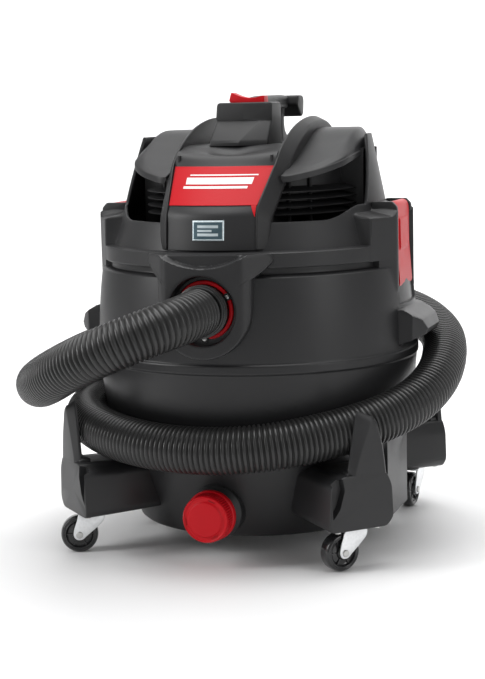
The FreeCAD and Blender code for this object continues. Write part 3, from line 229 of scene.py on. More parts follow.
def laminated(name, colour):
    """Stacked steel sheets: fine level lines across dull metal."""
    finish = Finish(name, Metallic=0.9)
    level = finish.node("ShaderNodeTexWave", {"bands_direction": "Z"},
                        {"Vector": finish.place, "Scale": 320.0})
    lines = Amount(finish, level.outputs["Fac"])
    rust = finish.noise(60.0, 5.0)
    finish.feed("Base Color", finish.tint(0.6 * lines + 0.4 * rust, shade(colour, 0.55), opaque(colour)))
    finish.feed("Roughness", 0.35 + 0.2 * lines)
    finish.bump(lines, 0.0002, 0.5)
    return finish.material


def paper(name):
    """Creamy pleated filter paper with fibre mottling."""
    finish = Finish(name)
    fibre = finish.noise(900.0, 6.0, (1, 1, 0.2))
    cloud = finish.noise(45.0, 4.0)
    finish.feed("Base Color", finish.tint(0.6 * cloud + 0.4 * fibre, (0.62, 0.56, 0.44, 1),
                                          (0.83, 0.79, 0.68, 1)))
    finish.feed("Roughness", 0.82 + 0.12 * fibre)
    finish.bump(fibre, 0.0003, 0.6)
    return finish.material


def rubber(name):
    """Soft matt rubber, a little dusty."""
    finish = Finish(name)
    dust = finish.noise(120.0, 5.0)
    finish.feed("Base Color", finish.tint(dust, (0.012, 0.012, 0.012, 1), (0.034, 0.033, 0.031, 1)))
    finish.feed("Roughness", 0.66 + 0.2 * dust)
    finish.bump(dust, 0.0002, 0.4)
    return finish.material


def hose_skin(name, colour):
    """Blown hose plastic: satin ribs, rougher grooves darkened with painted shade, with faint drawn streaks."""
    finish = Finish(name, IOR=1.5)
    depth = finish.node("ShaderNodeAttribute", {"attribute_name": "groove"}, {})
    groove = Amount(finish, depth.outputs["Fac"])
    streaks = finish.noise(90.0, 4.0)
    # the groove depth darkens the colour in the grooves: painted shade
    finish.feed("Base Color", finish.tint(groove,
                                          finish.tint(streaks, shade(colour, 0.85), shade(colour, 1.3)),
                                          shade(colour, 0.45)))
    finish.feed("Roughness", 0.24 + 0.12 * streaks + 0.3 * groove)
    finish.bump(finish.noise(1500.0, 2.0), 0.0001, 0.2)
    return finish.material


def badge_face(name):
    """Small metal plate: pale border and bars printed on blue-grey, all from the plate's own places."""
    finish = Finish(name, Metallic=0.55)
    print_ = finish.node("ShaderNodeAttribute", {"attribute_name": "print"}, {})
    printed = Amount(finish, print_.outputs["Fac"])
    brushed = finish.noise(300.0, 3.0, (0.15, 1, 1))
    ground = finish.tint(brushed, (0.045, 0.085, 0.105, 1), (0.095, 0.150, 0.175, 1))
    pale = finish.tint(brushed, (0.50, 0.60, 0.64, 1), (0.74, 0.82, 0.84, 1))
    finish.feed("Base Color", finish.tint(printed, ground, pale))
    finish.feed("Roughness", 0.26 + 0.2 * brushed)
    finish.bump(brushed, 0.0001, 0.2)
    return finish.material


def stripes(name):
    """White printed stripes with the label's grain."""
    finish = Finish(name)
    cloud = finish.noise(60.0, 3.0)
    finish.feed("Base Color", finish.tint(cloud, (0.80, 0.79, 0.78, 1), (0.92, 0.91, 0.90, 1)))
    finish.feed("Roughness", 0.28 + 0.1 * cloud)
    finish.bump(finish.noise(1200.0), 0.0001, 0.1)
    return finish.material


def finish_for(slot):
    """The material of a slot, made once from the scene's colours."""
    name = "finish_" + slot
    if name in bpy.data.materials:
        return bpy.data.materials[name]
    colours = bpy.context.scene.vacuum_colours
    grain = bpy.context.scene.vacuum_sizes.grain
    makers = {
        "drum_plastic": lambda: moulded(name, colours.drum, 0.40, grain, 0.20),
        "head_plastic": lambda: moulded(name, colours.head, 0.46, grain, 0.30),
        "dark_plastic": lambda: moulded(name, [c * 0.7 for c in colours.head], 0.48, grain, 0.3),
        "red_plastic": lambda: moulded(name, colours.red, 0.42, grain, 0.10, 0.06, 0.0, 0.2),
        "hose_plastic": lambda: hose_skin(name, colours.hose),
        "badge_plate": lambda: badge_face(name),
        "zinc": lambda: plated(name, colours.zinc, 0.26, (1, 1, 0.2)),
        "bearing_steel": lambda: plated(name, (0.55, 0.55, 0.54), 0.22, (1, 1, 0.1)),
        "laminated_steel": lambda: laminated(name, (0.38, 0.37, 0.36)),
        "fan_aluminium": lambda: plated(name, (0.72, 0.73, 0.74), 0.3, (0.3, 1, 1)),
        "wheel_plastic": lambda: moulded(name, (0.012, 0.012, 0.013), 0.20, 0.0016, 0.05, 0.2, 0.5),
        "seal_rubber": lambda: rubber(name),
        "filter_paper": lambda: paper(name),
        "label_print": lambda: stripes(name),
    }
    return makers[slot]()


# ---- surfaces -------------------------------------------------------------------------------
def flipped_out(points, quads, tris):
    """Turns the faces outwards: the signed volume under them is made positive."""
    halves = np.vstack([quads[:, [0, 1, 2]], quads[:, [0, 2, 3]], tris])
    a, b, c = (points[halves[:, k]] for k in range(3))
    if np.einsum("ij,ij->", a, np.cross(b, c)) < 0:
        return points, quads[:, ::-1], tris[:, ::-1]
    return points, quads, tris


def skin(rings, tube=False):
    """Quads between neighbouring rings of points. The end rings get a fan over them, or are joined into a
    tube."""
    rings = np.asarray(rings, float)
    count, around, _ = rings.shape
    points = rings.reshape(-1, 3)
    i = np.arange(count if tube else count - 1)[:, None] * around
    j = np.arange(around)[None, :]
    turn = (j + 1) % around
    up = (i + around) % (count * around)
    quads = np.stack([i + j, i + turn, up + turn, up + j], axis=-1).reshape(-1, 4)
    tris = np.zeros((0, 3), int)
    if not tube:
        points = np.vstack([points, rings[0].mean(axis=0), rings[-1].mean(axis=0)])
        base, last = count * around, (count - 1) * around
        near = np.stack([turn[0], j[0], np.full(around, base)], axis=-1)
        far = np.stack([last + j[0], last + turn[0], np.full(around, base + 1)], axis=-1)
        tris = np.vstack([near, far])
    return flipped_out(points, quads, tris)


def rounded(corners, radius=2.0, steps=4, closed=True):
    """Outline whose corners are parabolas from radius before each corner to radius after it, or half a
    side at most."""
    corners = np.asarray(corners, float)
    reach = np.broadcast_to(np.asarray(radius, float), len(corners))[:, None]
    sides = []
    for other in (np.roll(corners, 1, axis=0), np.roll(corners, -1, axis=0)):
        way = other - corners
        length = np.maximum(np.linalg.norm(way, axis=1, keepdims=True), 1e-9)
        sides.append(corners + way / length * np.minimum(reach, length * 0.49))
    t = np.linspace(0, 1, steps + 1)[None, :, None]
    arcs = (1 - t) ** 2 * sides[0][:, None] + 2 * t * (1 - t) * corners[:, None] + t ** 2 * sides[1][:, None]
    if not closed:
        arcs[0], arcs[-1] = corners[0], corners[-1]
    return arcs.reshape(-1, corners.shape[1])


def spaced(line, count):
    """A line of points resampled at count even distances along it."""
    line = np.asarray(line, float)
    run = np.concatenate([[0], np.cumsum(np.linalg.norm(np.diff(line, axis=0), axis=1))])
    at = np.linspace(0, run[-1], count)
    return np.stack([np.interp(at, run, line[:, k]) for k in range(line.shape[1])], axis=1)


def drawn_in(ring, distance):
    """A ring whose points have each moved towards its centre by distance."""
    way = ring - ring.mean(axis=0)
    length = np.maximum(np.linalg.norm(way, axis=1, keepdims=True), 1e-9)
    return ring - way / length * np.minimum(distance, length * 0.9)


def eased(rings, reach, steps=3):
    """Rings whose two ends are rounded over by quarter circles of radius reach."""
    rings = np.asarray(rings, float)
    turns = np.linspace(0, math.pi / 2, steps + 1)
    def end(ring, neighbour):
        way = ring.mean(axis=0) - neighbour.mean(axis=0)
        way = way / max(np.linalg.norm(way), 1e-9)
        return [drawn_in(ring, reach * (1 - math.cos(a))) - way * reach * (1 - math.sin(a)) for a in turns]
    first = end(rings[0], rings[1])[::-1]
    last = end(rings[-1], rings[-2])
    return np.stack(first + list(rings[1:-1]) + last)


PLACES = {
    "front": lambda a, b, t: (a, t, b),
    "side": lambda a, b, t: (t, a, b),
    "plan": lambda a, b, t: (a, b, t),
    "diagonal": lambda a, b, t: ((t + a) / math.sqrt(2), (a - t) / math.sqrt(2), b),
}


def slab(outline, low, high, view, edge=1.5, radius=2.0, far_outline=None, steps=4):
    """Prism with rounded edges: an outline seen in a view, carried from low to high, where it may have
    another shape."""
    near = rounded(outline, radius, steps)
    far = near if far_outline is None else rounded(far_outline, radius, steps)
    def ring(line, t):
        return np.stack(np.broadcast_arrays(*PLACES[view](line[:, 0], line[:, 1], t)), axis=1)
    return skin(eased(np.stack([ring(near, low), ring(far, high)]), edge))


AXES = {
    "X": np.array([(0, 1, 0), (0, 0, 1), (1, 0, 0)], float),
    "Y": np.array([(1, 0, 0), (0, 0, 1), (0, 1, 0)], float),
    "Z": np.array([(1, 0, 0), (0, 1, 0), (0, 0, 1)], float),
}


def spun(profile, axis="Z", centre=(0, 0, 0), around=64, swell=None):
    """Rings of a profile of (radius, distance along the axis) points carried round the axis through
    centre."""
    profile = np.asarray(profile, float)
    angle = 2 * math.pi * np.arange(around) / around
    u, v, w = AXES[axis] if isinstance(axis, str) else axis
    radius = profile[:, :1] * np.ones(around)
    if swell is not None:
        radius = swell(radius, profile[:, 1:], angle[None, :])
    across = radius[..., None] * (np.cos(angle)[:, None] * u + np.sin(angle)[:, None] * v)
    return np.asarray(centre, float) + across + profile[:, 1, None, None] * w


def turning(profile, axis="Z", centre=(0, 0, 0), around=64, radius=1.0, tube=True, swell=None):
    """Closed solid of revolution from the corners of its half section, each rounded."""
    line = rounded(profile, radius, 3, closed=tube)
    return skin(spun(line, axis, centre, around, swell), tube)


def carried(sections, path, side=(1, 0, 0)):
    """Sections of (across, out) points carried along a path: across runs along side, out square to side
    and path."""
    path = np.asarray(path, float)
    ahead = np.gradient(path, axis=0)
    ahead /= np.linalg.norm(ahead, axis=1, keepdims=True)
    side = np.asarray(side, float)
    out = np.cross(side, ahead)
    out /= np.linalg.norm(out, axis=1, keepdims=True)
    sections = np.broadcast_to(np.asarray(sections, float), (len(path), *np.shape(sections)[-2:]))
    return path[:, None] + sections[..., :1] * side + sections[..., 1:] * out[:, None]


def soft_min(a, b, reach):
    """The lower of two heights, with the crease between them filled over reach."""
    share = np.clip(0.5 + 0.5 * (b - a) / reach, 0, 1)
    return b * (1 - share) + a * share - reach * share * (1 - share)


def soft_max(a, b, reach):
    return -soft_min(-np.asarray(a), -np.asarray(b), reach)


def smooth_step(low, high, value):
    share = np.clip((value - low) / (high - low), 0, 1)
    return share * share * (3 - 2 * share)


def through(z, heights, sizes):
    """The parabola through three points, at z."""
    (z0, z1, z2), (r0, r1, r2) = heights, sizes
    return (r0 * (z - z1) * (z - z2) / ((z0 - z1) * (z0 - z2)) + r1 * (z - z0) * (z - z2) / ((z1 - z0) * (z1 - z2))
            + r2 * (z - z0) * (z - z1) / ((z2 - z0) * (z2 - z1)))


def mirrored(part, x_way=-1, y_way=1):
    """A closed surface mirrored across X or Y, with its faces turned back outwards."""
    points, quads, tris = part
    return flipped_out(points * (x_way, y_way, 1), quads, tris)


def piece(name, parts, body, slot, stands_for=(), sharp=38.0):
    """One object from closed surfaces in millimetres, riding a body and finished by a slot."""
    points, faces, start = [], [], 0
    for part_points, quads, tris in parts:
        points.append(part_points)
        faces += (quads + start).tolist() + (tris + start).tolist()
        start += len(part_points)
    mesh = bpy.data.meshes.new(name)
    mesh.from_pydata(np.vstack(points) * MM, [], faces)
    return finished(name, mesh, body, slot, stands_for, sharp)


def finished(name, mesh, body, slot, stands_for=(), sharp=38.0):
    """Cleans a mesh, smooths it up to the sharp angle, and makes it a piece."""
    work = bmesh.new()
    work.from_mesh(mesh)
    bmesh.ops.remove_doubles(work, verts=work.verts, dist=0.00001)
    bmesh.ops.dissolve_degenerate(work, edges=work.edges, dist=0.00001)
    work.to_mesh(mesh)
    work.free()
    mesh.shade_smooth()
    mesh.set_sharp_from_angle(angle=math.radians(sharp))
    made = bpy.data.objects.new(name, mesh)
    bpy.context.scene.collection.objects.link(made)
    mesh.materials.clear()
    mesh.materials.append(finish_for(slot))
    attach(made, body)
    slot if slot != "label_print" else "badge_plate"
    if stands_for:
        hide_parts(*stands_for)
    return made


def carve(target, parts):
    """Cuts closed surfaces out of a piece."""
    cutter_mesh = bpy.data.meshes.new("cutter")
    points, faces, start = [], [], 0
    for part_points, quads, tris in parts:
        points.append(part_points)
        faces += (quads + start).tolist() + (tris + start).tolist()
        start += len(part_points)
    cutter_mesh.from_pydata(np.vstack(points) * MM, [], faces)
    cutter = bpy.data.objects.new("cutter", cutter_mesh)
    bpy.context.scene.collection.objects.link(cutter)
    cut = target.modifiers.new("carve", "BOOLEAN")
    cut.operation = "DIFFERENCE"
    cut.solver = "EXACT"
    cut.object = cutter
    cut.use_self = True
    bpy.context.view_layer.update()
    whole = bpy.data.meshes.new_from_object(target.evaluated_get(bpy.context.evaluated_depsgraph_get()))
    target.modifiers.clear()
    old = target.data
    target.data = whole
    whole.name = old.name
    bpy.data.meshes.remove(old)
    bpy.data.objects.remove(cutter)
    bpy.data.meshes.remove(cutter_mesh)
    whole.shade_smooth()
    whole.set_sharp_from_angle(angle=math.radians(35))


def flowing(points, count):
    """Smooth line through points: each run is the cubic whose slope at a point is half the step across its
    neighbours."""
    points = np.asarray(points, float)
    ends = np.vstack([2 * points[0] - points[1], points, 2 * points[-1] - points[-2]])
    t = np.linspace(0, len(points) - 1, count)
    run = np.minimum(t.astype(int), len(points) - 2)
    t = (t - run)[:, None]
    a, b, c, d = (ends[run + k] for k in range(4))
    return 0.5 * (2 * b + (c - a) * t + (2 * a - 5 * b + 4 * c - d) * t ** 2 + (3 * b - a - 3 * c + d) * t ** 3)


def side_line(line):
    """(y, z) points as (0, y, z)."""
    return np.column_stack([np.zeros(len(line)), line])


# ---- hose -----------------------------------------------------------------------------------
def route_spline(points):
    """The route as a NURBS spline through control points, and the points along it."""
    curve = bpy.data.curves.new("hose_route", "CURVE")
    curve.dimensions = "3D"
    curve.resolution_u = 40
    spline = curve.splines.new("NURBS")
    spline.points.add(len(points) - 1)
    for knot, place in zip(spline.points, points):
        knot.co = (*place, 1.0)
    spline.use_endpoint_u = True
    spline.order_u = 3
    holder = bpy.data.objects.new("hose_route", curve)
    bpy.context.scene.collection.objects.link(holder)
    bpy.context.view_layer.update()
    line = bpy.data.meshes.new_from_object(holder.evaluated_get(bpy.context.evaluated_depsgraph_get()))
    places = np.empty(len(line.vertices) * 3)
    line.vertices.foreach_get("co", places)
    bpy.data.meshes.remove(line)
    bpy.data.objects.remove(holder)
    bpy.data.curves.remove(curve)
    return places.reshape(-1, 3)


def hose_frames(path):
    """Directions along a line of points that is never upright, level across it, and square to both."""
    ahead = np.gradient(path, axis=0)
    ahead /= np.linalg.norm(ahead, axis=1, keepdims=True)
    across = np.cross((0, 0, 1), ahead)
    across /= np.linalg.norm(across, axis=1, keepdims=True)
    return ahead, across, np.cross(ahead, across)


class VACUUM_OT_hose(bpy.types.Operator):
    """Makes the ribbed hose along its route, with a cuff at each end"""

    bl_idname = "vacuum.hose"
    bl_label = "Hose"

    def execute(self, context):
        sizes = context.scene.vacuum_sizes
        route = route_spline(HOSE_ROUTE)
        run = np.concatenate([[0], np.cumsum(np.linalg.norm(np.diff(route, axis=0), axis=1))])
        ribs = int(run[-1] / sizes.rib_pitch)
        spots = np.array([0.0, 0.13, 0.40, 0.54, 0.66, 0.86])
        sunk = np.array([0.22, 0.0, 0.0, 0.22, 1.0, 1.0])
        along = (np.arange(ribs)[:, None] + spots).ravel() * run[-1] / ribs
        depth = np.tile(sunk, ribs)
        path = np.stack([np.interp(along, run, route[:, k]) for k in range(3)], axis=1)
        _, across, over = hose_frames(path)
        radius = 0.031 - sizes.rib_depth * depth
        angle = 2 * math.pi * np.arange(32) / 32
        rings = path[:, None] + radius[:, None, None] * (np.cos(angle)[None, :, None] * across[:, None]
                                                         + np.sin(angle)[None, :, None] * over[:, None])
        points, quads, tris = skin(rings)
        mesh = bpy.data.meshes.new("ribbed_hose")
        mesh.from_pydata(points, [], quads.tolist() + tris.tolist())
        # groove depth at each point, which the hose finish uses for painted shade in the grooves
        groove = mesh.attributes.new("groove", "FLOAT", "POINT")
        groove.data.foreach_set("value", np.concatenate([np.repeat(depth, 32), [1.0, 1.0]]))
        hose = finished("ribbed_hose", mesh, "drum", "hose_plastic", ["hose_tube"], sharp=80)
        collar = [turning([(28.6, -200), (33, -200), (33, -235), (32.2, -242.6), (28.6, -242.9)], "Y",
                          INLET_CENTRE, 72)]
        collar += [turning([(32, y - 1.6), (34.4, y - 0.8), (34.4, y + 0.8), (32, y + 1.6)], "Y",
                           INLET_CENTRE,
                           72, 0.5)
                   for y in (-238, -232)]
        inlet = piece("hose_collar", collar, "drum", "hose_plastic", ["hose_inlet_cuff"])
        end, before = np.array(HOSE_ROUTE[-1]) * 1000, np.array(HOSE_ROUTE[-2]) * 1000
        way = (end - before) / np.linalg.norm(end - before)
        across_end = np.cross((0, 0, 1), way)
        across_end /= np.linalg.norm(across_end)
        axis = (across_end, np.cross(way, across_end), way)
        grip = [(27.9, 0), (31.5, 0), (33, 2), (33, 26), (31.4, 28), (31, 30), (30.6, 71), (30, 72),
                (27.9, 72)]
        cuff = [turning(grip, axis, end, 72)]
        cuff += [turning([(32, t), (33.4, t + 0.6), (33.4, t + 2), (32, t + 2.6)], axis, end, 72,
                         0.5) for t in (4, 9, 14, 19)]
        far = piece("hose_cuff", cuff, "drum", "hose_plastic", ["hose_end_cuff"])
        return {"FINISHED"}


# ---- drum -----------------------------------------------------------------------------------
def around_angles():
    """Angles round the drum, four times denser within 30 degrees of either side."""
    fine = np.arange(-30, 30, 0.5)
    coarse = np.arange(30, 150, 1.5)
    return np.radians(np.concatenate([fine, coarse, fine + 180, coarse + 180]))


def from_side(angle):
    """Angle from the nearer of the two sides, and the cosine and sine of it without sign."""
    away = np.abs((np.degrees(angle) + 90) % 180 - 90)
    return away, np.cos(np.radians(away)), np.sin(np.radians(away))


def drum_radius(z, angle):
    """Outside of the drum: two bulging walls and a bead between them, ears and flats under the latches,
    side grips."""
    away, cosine, sine = from_side(angle)
    low = through(z, (34, 142.5, 254), (174, 207, 224))
    high = through(z, (268, 324, 380), (223.5, 222, 216))
    wall = np.where(z < 258, low, high)
    bead = smooth_step(253.5, 256.5, z) * (1 - smooth_step(266, 269, z))
    wall = wall + (226.0 - wall) * bead
    wall = np.where(z > 380, 216 - 13 * smooth_step(379.5, 383.5, z), wall)
    ear = soft_min(215 / cosine, 207.7 / (0.840 * cosine + 0.542 * sine), 2.0)
    ear = ear * (1 - smooth_step(22.2, 24.0, away)) * smooth_step(330, 348,
                                                                  z) * (1 - smooth_step(393, 395, z))
    wall = soft_max(wall, ear, 2.0)
    reach = wall * sine
    seat = (205 + 0.16 * np.maximum(378 - z, 0)) / cosine
    pocket = (1 - smooth_step(42.4, 43.8, 206 * sine / cosine)) * smooth_step(328.5, 330.5, z)
    wall = wall + np.minimum(seat - wall, 0) * pocket
    grip = np.minimum(np.interp(z, [273, 276, 288, 296, 309, 323, 326],
                                [200, 222, 249, 252.5, 246, 222, 200]),
                      np.interp(reach, [33, 52, 57], [252.5, 236, 205])) / cosine
    return soft_max(wall, grip * (away < 17), 2.5)


def drum_shell():
    """Closed wall of the drum: floor, outside, rim, inside and floor again."""
    angle = around_angles()
    z = np.concatenate([np.linspace(34, 250, 40), np.linspace(252, 272, 17), np.linspace(274, 328, 28),
                        np.linspace(328, 332, 7), np.linspace(334, 378, 19), np.linspace(379, 396, 14)])
    outside = np.stack([z[:, None] * np.ones(len(angle)), drum_radius(z[:, None], angle[None, :])], axis=-1)
    def hoop(radius, height):
        return np.stack([np.full(len(angle), float(height)), np.full(len(angle), float(radius))], axis=-1)
    under = [hoop(r, h) for r, h in ((20, 28), (90, 28), (150, 28), (166, 28), (170, 29), (173, 31.5))]
    inside_z = np.linspace(378, 40, 16)
    inside_r = np.where(inside_z < 257, through(inside_z, (34, 142.5, 254), (170, 203, 220)),
                        through(inside_z, (268, 324, 380), (219.5, 218, 212)))
    rim = [hoop(202.5, 396.8), hoop(199.5, 396.8), hoop(199, 395), hoop(199, 384), hoop(206, 380)]
    inner = [hoop(r, h) for h, r in zip(inside_z, inside_r)] + [hoop(160, 33), hoop(90, 32), hoop(20, 32)]
    grid = np.concatenate([np.stack(under), outside, np.stack(rim + inner)])
    heights, radii = grid[..., 0], grid[..., 1]
    return skin(np.stack([radii * np.cos(angle), radii * np.sin(angle), heights], axis=-1))


def shield_outline(angle, inset):
    """Distance from the inlet's centre to the boss's shield-shaped edge, inset, in each direction."""
    half, top, body = 86 - inset, 72 - inset, 63 - inset
    low = np.radians(np.linspace(180, 360, 25))
    round_part = np.column_stack([body * np.cos(low), body * np.sin(low)])
    corners = np.vstack([[(-half, top), (-half, 54), (-body - 1, 46)], round_part,
                         [(body + 1, 46), (half, 54), (half, top)]])
    edge = rounded(corners, [7.0, 7.0, 7.0] + [0.5] * 25 + [7.0, 7.0, 7.0], 6)
    edge = spaced(np.vstack([edge, edge[:1]]), 1600)[:-1]
    turn = np.unwrap(np.arctan2(edge[:, 1], edge[:, 0]))
    order = np.argsort(turn % (2 * math.pi))
    return np.interp(angle, (turn % (2 * math.pi))[order], np.hypot(edge[:, 0], edge[:, 1])[order],
                     period=2 * math.pi)


def boss_front(x, z):
    """Front of the boss: a round nose that sweeps back to the ears in plan, with a crescent scoop under
    the top edge."""
    away = np.abs(x)
    front = -soft_min(236.0 - 0.0011 * away ** 2, 222.0 + 1.06 * (63.5 - away), 5.0)
    scoop = 110 - np.hypot(x, z - 503)
    return front + 11 * smooth_step(0, 3.5, scoop)


def inlet_boss():
    """Boss round the hose inlet: rings from the bore out over the ring's seat, the recess and the face to
    the shield's edge."""
    angle = 2 * math.pi * np.arange(288) / 288
    def ring(radius, depth):
        x, z = radius * np.cos(angle), INLET_Z + radius * np.sin(angle)
        return np.stack([x, depth(x, z) if callable(depth) else np.full(288, float(depth)), z], axis=-1)
    rings = [ring(r, y) for r, y in ((33.6, -190), (33.6, -216.8), (39.3, -216.8), (39.3, -220.4),
                                     (39.9, -221), (43.4, -221),
                                     (44.2, -221.8), (44.5, -223), (44.6, -231.2))]
    rings.append(ring(45.6, lambda x, z: boss_front(x, z) + 0.5))
    edge, whole = shield_outline(angle, 2.2), shield_outline(angle, 0)
    for share in np.linspace(0.04, 1, 22):
        rings.append(ring(46.4 + (edge - 46.4) * share, boss_front))
    rings.append(ring(edge + (whole - edge) * 0.7, lambda x, z: boss_front(x, z) + 0.7))
    rings.append(ring(whole, lambda x, z: boss_front(x, z) + 2.4))
    def back(x, z):
        return -np.sqrt(np.where(z > 386, 213.0, 207.0) ** 2 - x ** 2)
    rings.append(ring(whole, back))
    return skin(np.stack(rings), tube=True)


class VACUUM_OT_drum(bpy.types.Operator):
    """Makes the drum with its bead, latch flats, side grips, drain spout and the boss round the inlet"""

    bl_idname = "vacuum.drum"
    bl_label = "Drum"

    def execute(self, context):
        spout = turning([(21, -238), (26, -238), (26, -206), (36, -199), (36, -178), (21, -178)], "Y",
                        DRAIN_CENTRE, 72)
        piece("drum_wall", [drum_shell(), spout], "drum", "drum_plastic", ["drum"], sharp=30)
        piece("inlet_boss", [inlet_boss()], "drum", "drum_plastic", sharp=40)
        return {"FINISHED"}


class VACUUM_OT_inlet(bpy.types.Operator):
    """Makes the red clamp ring of the inlet with its screws"""

    bl_idname = "vacuum.inlet"
    bl_label = "Inlet ring"

    def execute(self, context):
        centre = INLET_CENTRE
        ring = [turning([(33.6, -217.2), (33.6, -222), (34.4, -223), (37.8, -223), (39, -221.8),
                         (39, -217.2)],
                        "Y", centre, 96, 0.8)]
        piece("clamp_ring", ring, "drum", "red_plastic", ["inlet_ring"])
        spots = [(37.0 * math.cos(a), INLET_Z + 37.0 * math.sin(a)) for a in np.radians([30, 150, 270])]
        lugs, screws = [], []
        for x, z in spots:
            lugs.append(turning([(0.01, -218), (5.2, -218), (4.8, -225.6), (3.6, -225.6), (3.4, -224.4),
                                 (0.01, -224.4)], "Y",
                                (x, 0, z), 32, 0.5, tube=False))
            head = turning([(0.01, -222), (3.1, -222), (3.1, -225.2), (2.3, -226.2), (0.01, -226.4)], "Y",
                           (x, 0, z), 24, 0.5,
                           tube=False)
            screws.append(head)
        piece("clamp_lugs", lugs, "drum", "drum_plastic")
        heads = piece("clamp_screws", screws, "drum", "bearing_steel", ["inlet_screws"])
        slots = []
        for x, z in spots:
            slots.append(slab([(x - 2, z - 0.4), (x + 2, z - 0.4), (x + 2, z + 0.4), (x - 2, z + 0.4)],
                              -227.6, -225.0, "front", 0.05, 0.1))
            slots.append(slab([(x - 0.4, z - 2), (x + 0.4, z - 2), (x + 0.4, z + 2), (x - 0.4, z + 2)],
                              -227.6, -225.1, "front", 0.05, 0.1))
        carve(heads, slots)
        return {"FINISHED"}


class VACUUM_OT_drain(bpy.types.Operator):
    """Makes the red drain cap with its knurled side and raised face"""

    bl_idname = "vacuum.drain"
    bl_label = "Drain cap"

    def execute(self, context):
        profile = [(0.01, -243.6), (22.4, -243.6), (23.6, -242.2), (24.4, -241.4), (28.2, -241.4),
                   (29.4, -242.6), (30.4, -242.0),
                   (31.4, -239.5), (31.6, -223), (33.6, -221.5), (33.8, -215), (33, -213.2), (27.4, -213.2),
                   (27.0, -239),
                   (0.01, -239)]
        def knurl(radius, reach, angle):
            side = smooth_step(-241, -238, reach) * (1 - smooth_step(-224.5, -223, reach)) * (radius > 30)
            return radius + 0.55 * side * np.cos(60 * angle)
        cap = piece("drain_cap_cover", [turning(profile, "Y", DRAIN_CENTRE, 360, 0.9, tube=False,
                                                swell=knurl)],
                    "drain_cap",
                    "red_plastic", ["drain_cap"])
        slots = []
        for turn in np.radians([68, 188, 300]):
            x, z = 26.4 * math.cos(turn), DRAIN_Z + 26.4 * math.sin(turn)
            way = np.array([-math.sin(turn), math.cos(turn)])
            side = np.array([math.cos(turn), math.sin(turn)])
            centre = np.array([x, z])
            outline = [centre - 5.5 * way - 1.3 * side, centre + 5.5 * way - 1.3 * side,
                       centre + 5.5 * way + 0.9 * side, centre - 5.5 * way + 0.9 * side]
            slots.append(slab(outline, -245, -240.2, "front", 0.1, 0.4))
        carve(cap, slots)
        return {"FINISHED"}


# ---- feet and casters -----------------------------------------------------------------------
def diagonal(d, t, z):
    """Point d out along the front right diagonal, t across it, z up."""
    d, t, z = np.broadcast_arrays(d, t, z)
    return np.stack([(d + t) / math.sqrt(2), (t - d) / math.sqrt(2), z], axis=-1).astype(float)


def foot_post():
    """Hose post: level outlines from the block to a slanted top, with a long facet that comes to a point
    below."""
    z = np.concatenate([np.linspace(86, 196, 16), [203, 209, 212.4, 213]])
    left = np.interp(z, [86, 105, 134, 213], [-12, -14, -21, -7])
    right = np.interp(z, [86, 163, 199, 213], [39, 30, 24, 21])
    facet = np.interp(z, [100, 134, 199, 213], [0, 8, 19, 18])
    draw = np.array([0.0] * 17 + [0.6, 2.2, 4.5])
    rings = []
    for height, low, high, slope, inset in zip(z, left, right, facet, draw):
        low, high = low + inset, high - inset
        back, front = 279.5 + inset * 0.4, 289 - inset * 0.8
        corners = [(back, low), (front - 5.5, low), (front, low + slope), (front, high - 3),
                   (front - 3, high), (back, high)]
        line = rounded(corners, 1.6, 3)
        lean = np.clip((line[:, 1] + 7) / 28, 0, 1) * 14 * smooth_step(150, 213, height)
        rings.append(diagonal(line[:, 0], line[:, 1], height - lean))
    return skin(np.stack(rings))


def foot_parts():
    """Front right foot: body from under the drum out to the corner, post and a shelf rib."""
    body = slab([(-48, 66), (-43, 60), (32, 60), (42, 71), (40, 110), (34, 126), (-30, 127), (-46, 117)], 158,
                289, "diagonal", 2.4, 6,
                [(-52, 63), (-47, 58), (34, 58), (44, 70), (42, 112), (34, 129), (-30, 130), (-48, 118)])
    shelf = slab([(-28, 100), (36, 100), (30, 134), (-22, 134)], 268, 284, "diagonal", 2, 4)
    return [body, shelf, foot_post()]


def foot_slots():
    """The dark slot in the foot's outer face and the open underside."""
    slot = slab([(-46, 78), (-37, 90), (-30, 112), (-33, 126), (-44, 124), (-47, 110)], 279, 292, "diagonal",
                0.5, 3,
                [(-47, 74), (-36, 88), (-29, 112), (-32, 129), (-45, 127), (-48, 110)])
    under = slab([(-44, 50), (30, 50), (34, 104), (-42, 104)], 176, 276, "diagonal", 1, 4)
    return [slot, under]


class VACUUM_OT_feet(bpy.types.Operator):
    """Makes the four feet with their hose posts, and the caster sockets with their ribs"""

    bl_idname = "vacuum.feet"
    bl_label = "Feet"

    def execute(self, context):
        for corner, (x_way, y_way) in CORNERS.items():
            flip = (x_way, -y_way)
            made = piece("foot_shell_" + corner, [mirrored(part, *flip) for part in foot_parts()], "drum",
                         "drum_plastic",
                         ["foot_" + corner])
            carve(made, [mirrored(part, *flip) for part in foot_slots()])
            socket = turning([(0.01, 59), (13, 59), (14.5, 66), (14.5, 110), (0.01, 110)], "Z",
                             (182 * x_way, 182 * y_way, 0), 40,
                             1.0, tube=False)
            ribs = [slab([(t - 1.5, 64), (t + 1.5, 64), (t + 1.5, 110), (t - 1.5, 110)], 200, 278, "diagonal",
                         0.4, 0.6)
                    for t in (-14, 16)]
            piece("foot_socket_" + corner, [socket] + [mirrored(part, *flip) for part in ribs], "drum",
                  "drum_plastic")
        return {"FINISHED"}


def turned_part(part, heading, place):
    """A closed surface turned about Z by heading degrees and moved to place."""
    points, quads, tris = part
    c, s = math.cos(math.radians(heading)), math.sin(math.radians(heading))
    x, y = points[:, 0] * c - points[:, 1] * s, points[:, 0] * s + points[:, 1] * c
    return np.stack([x + place[0], y + place[1], points[:, 2]], axis=1), quads, tris


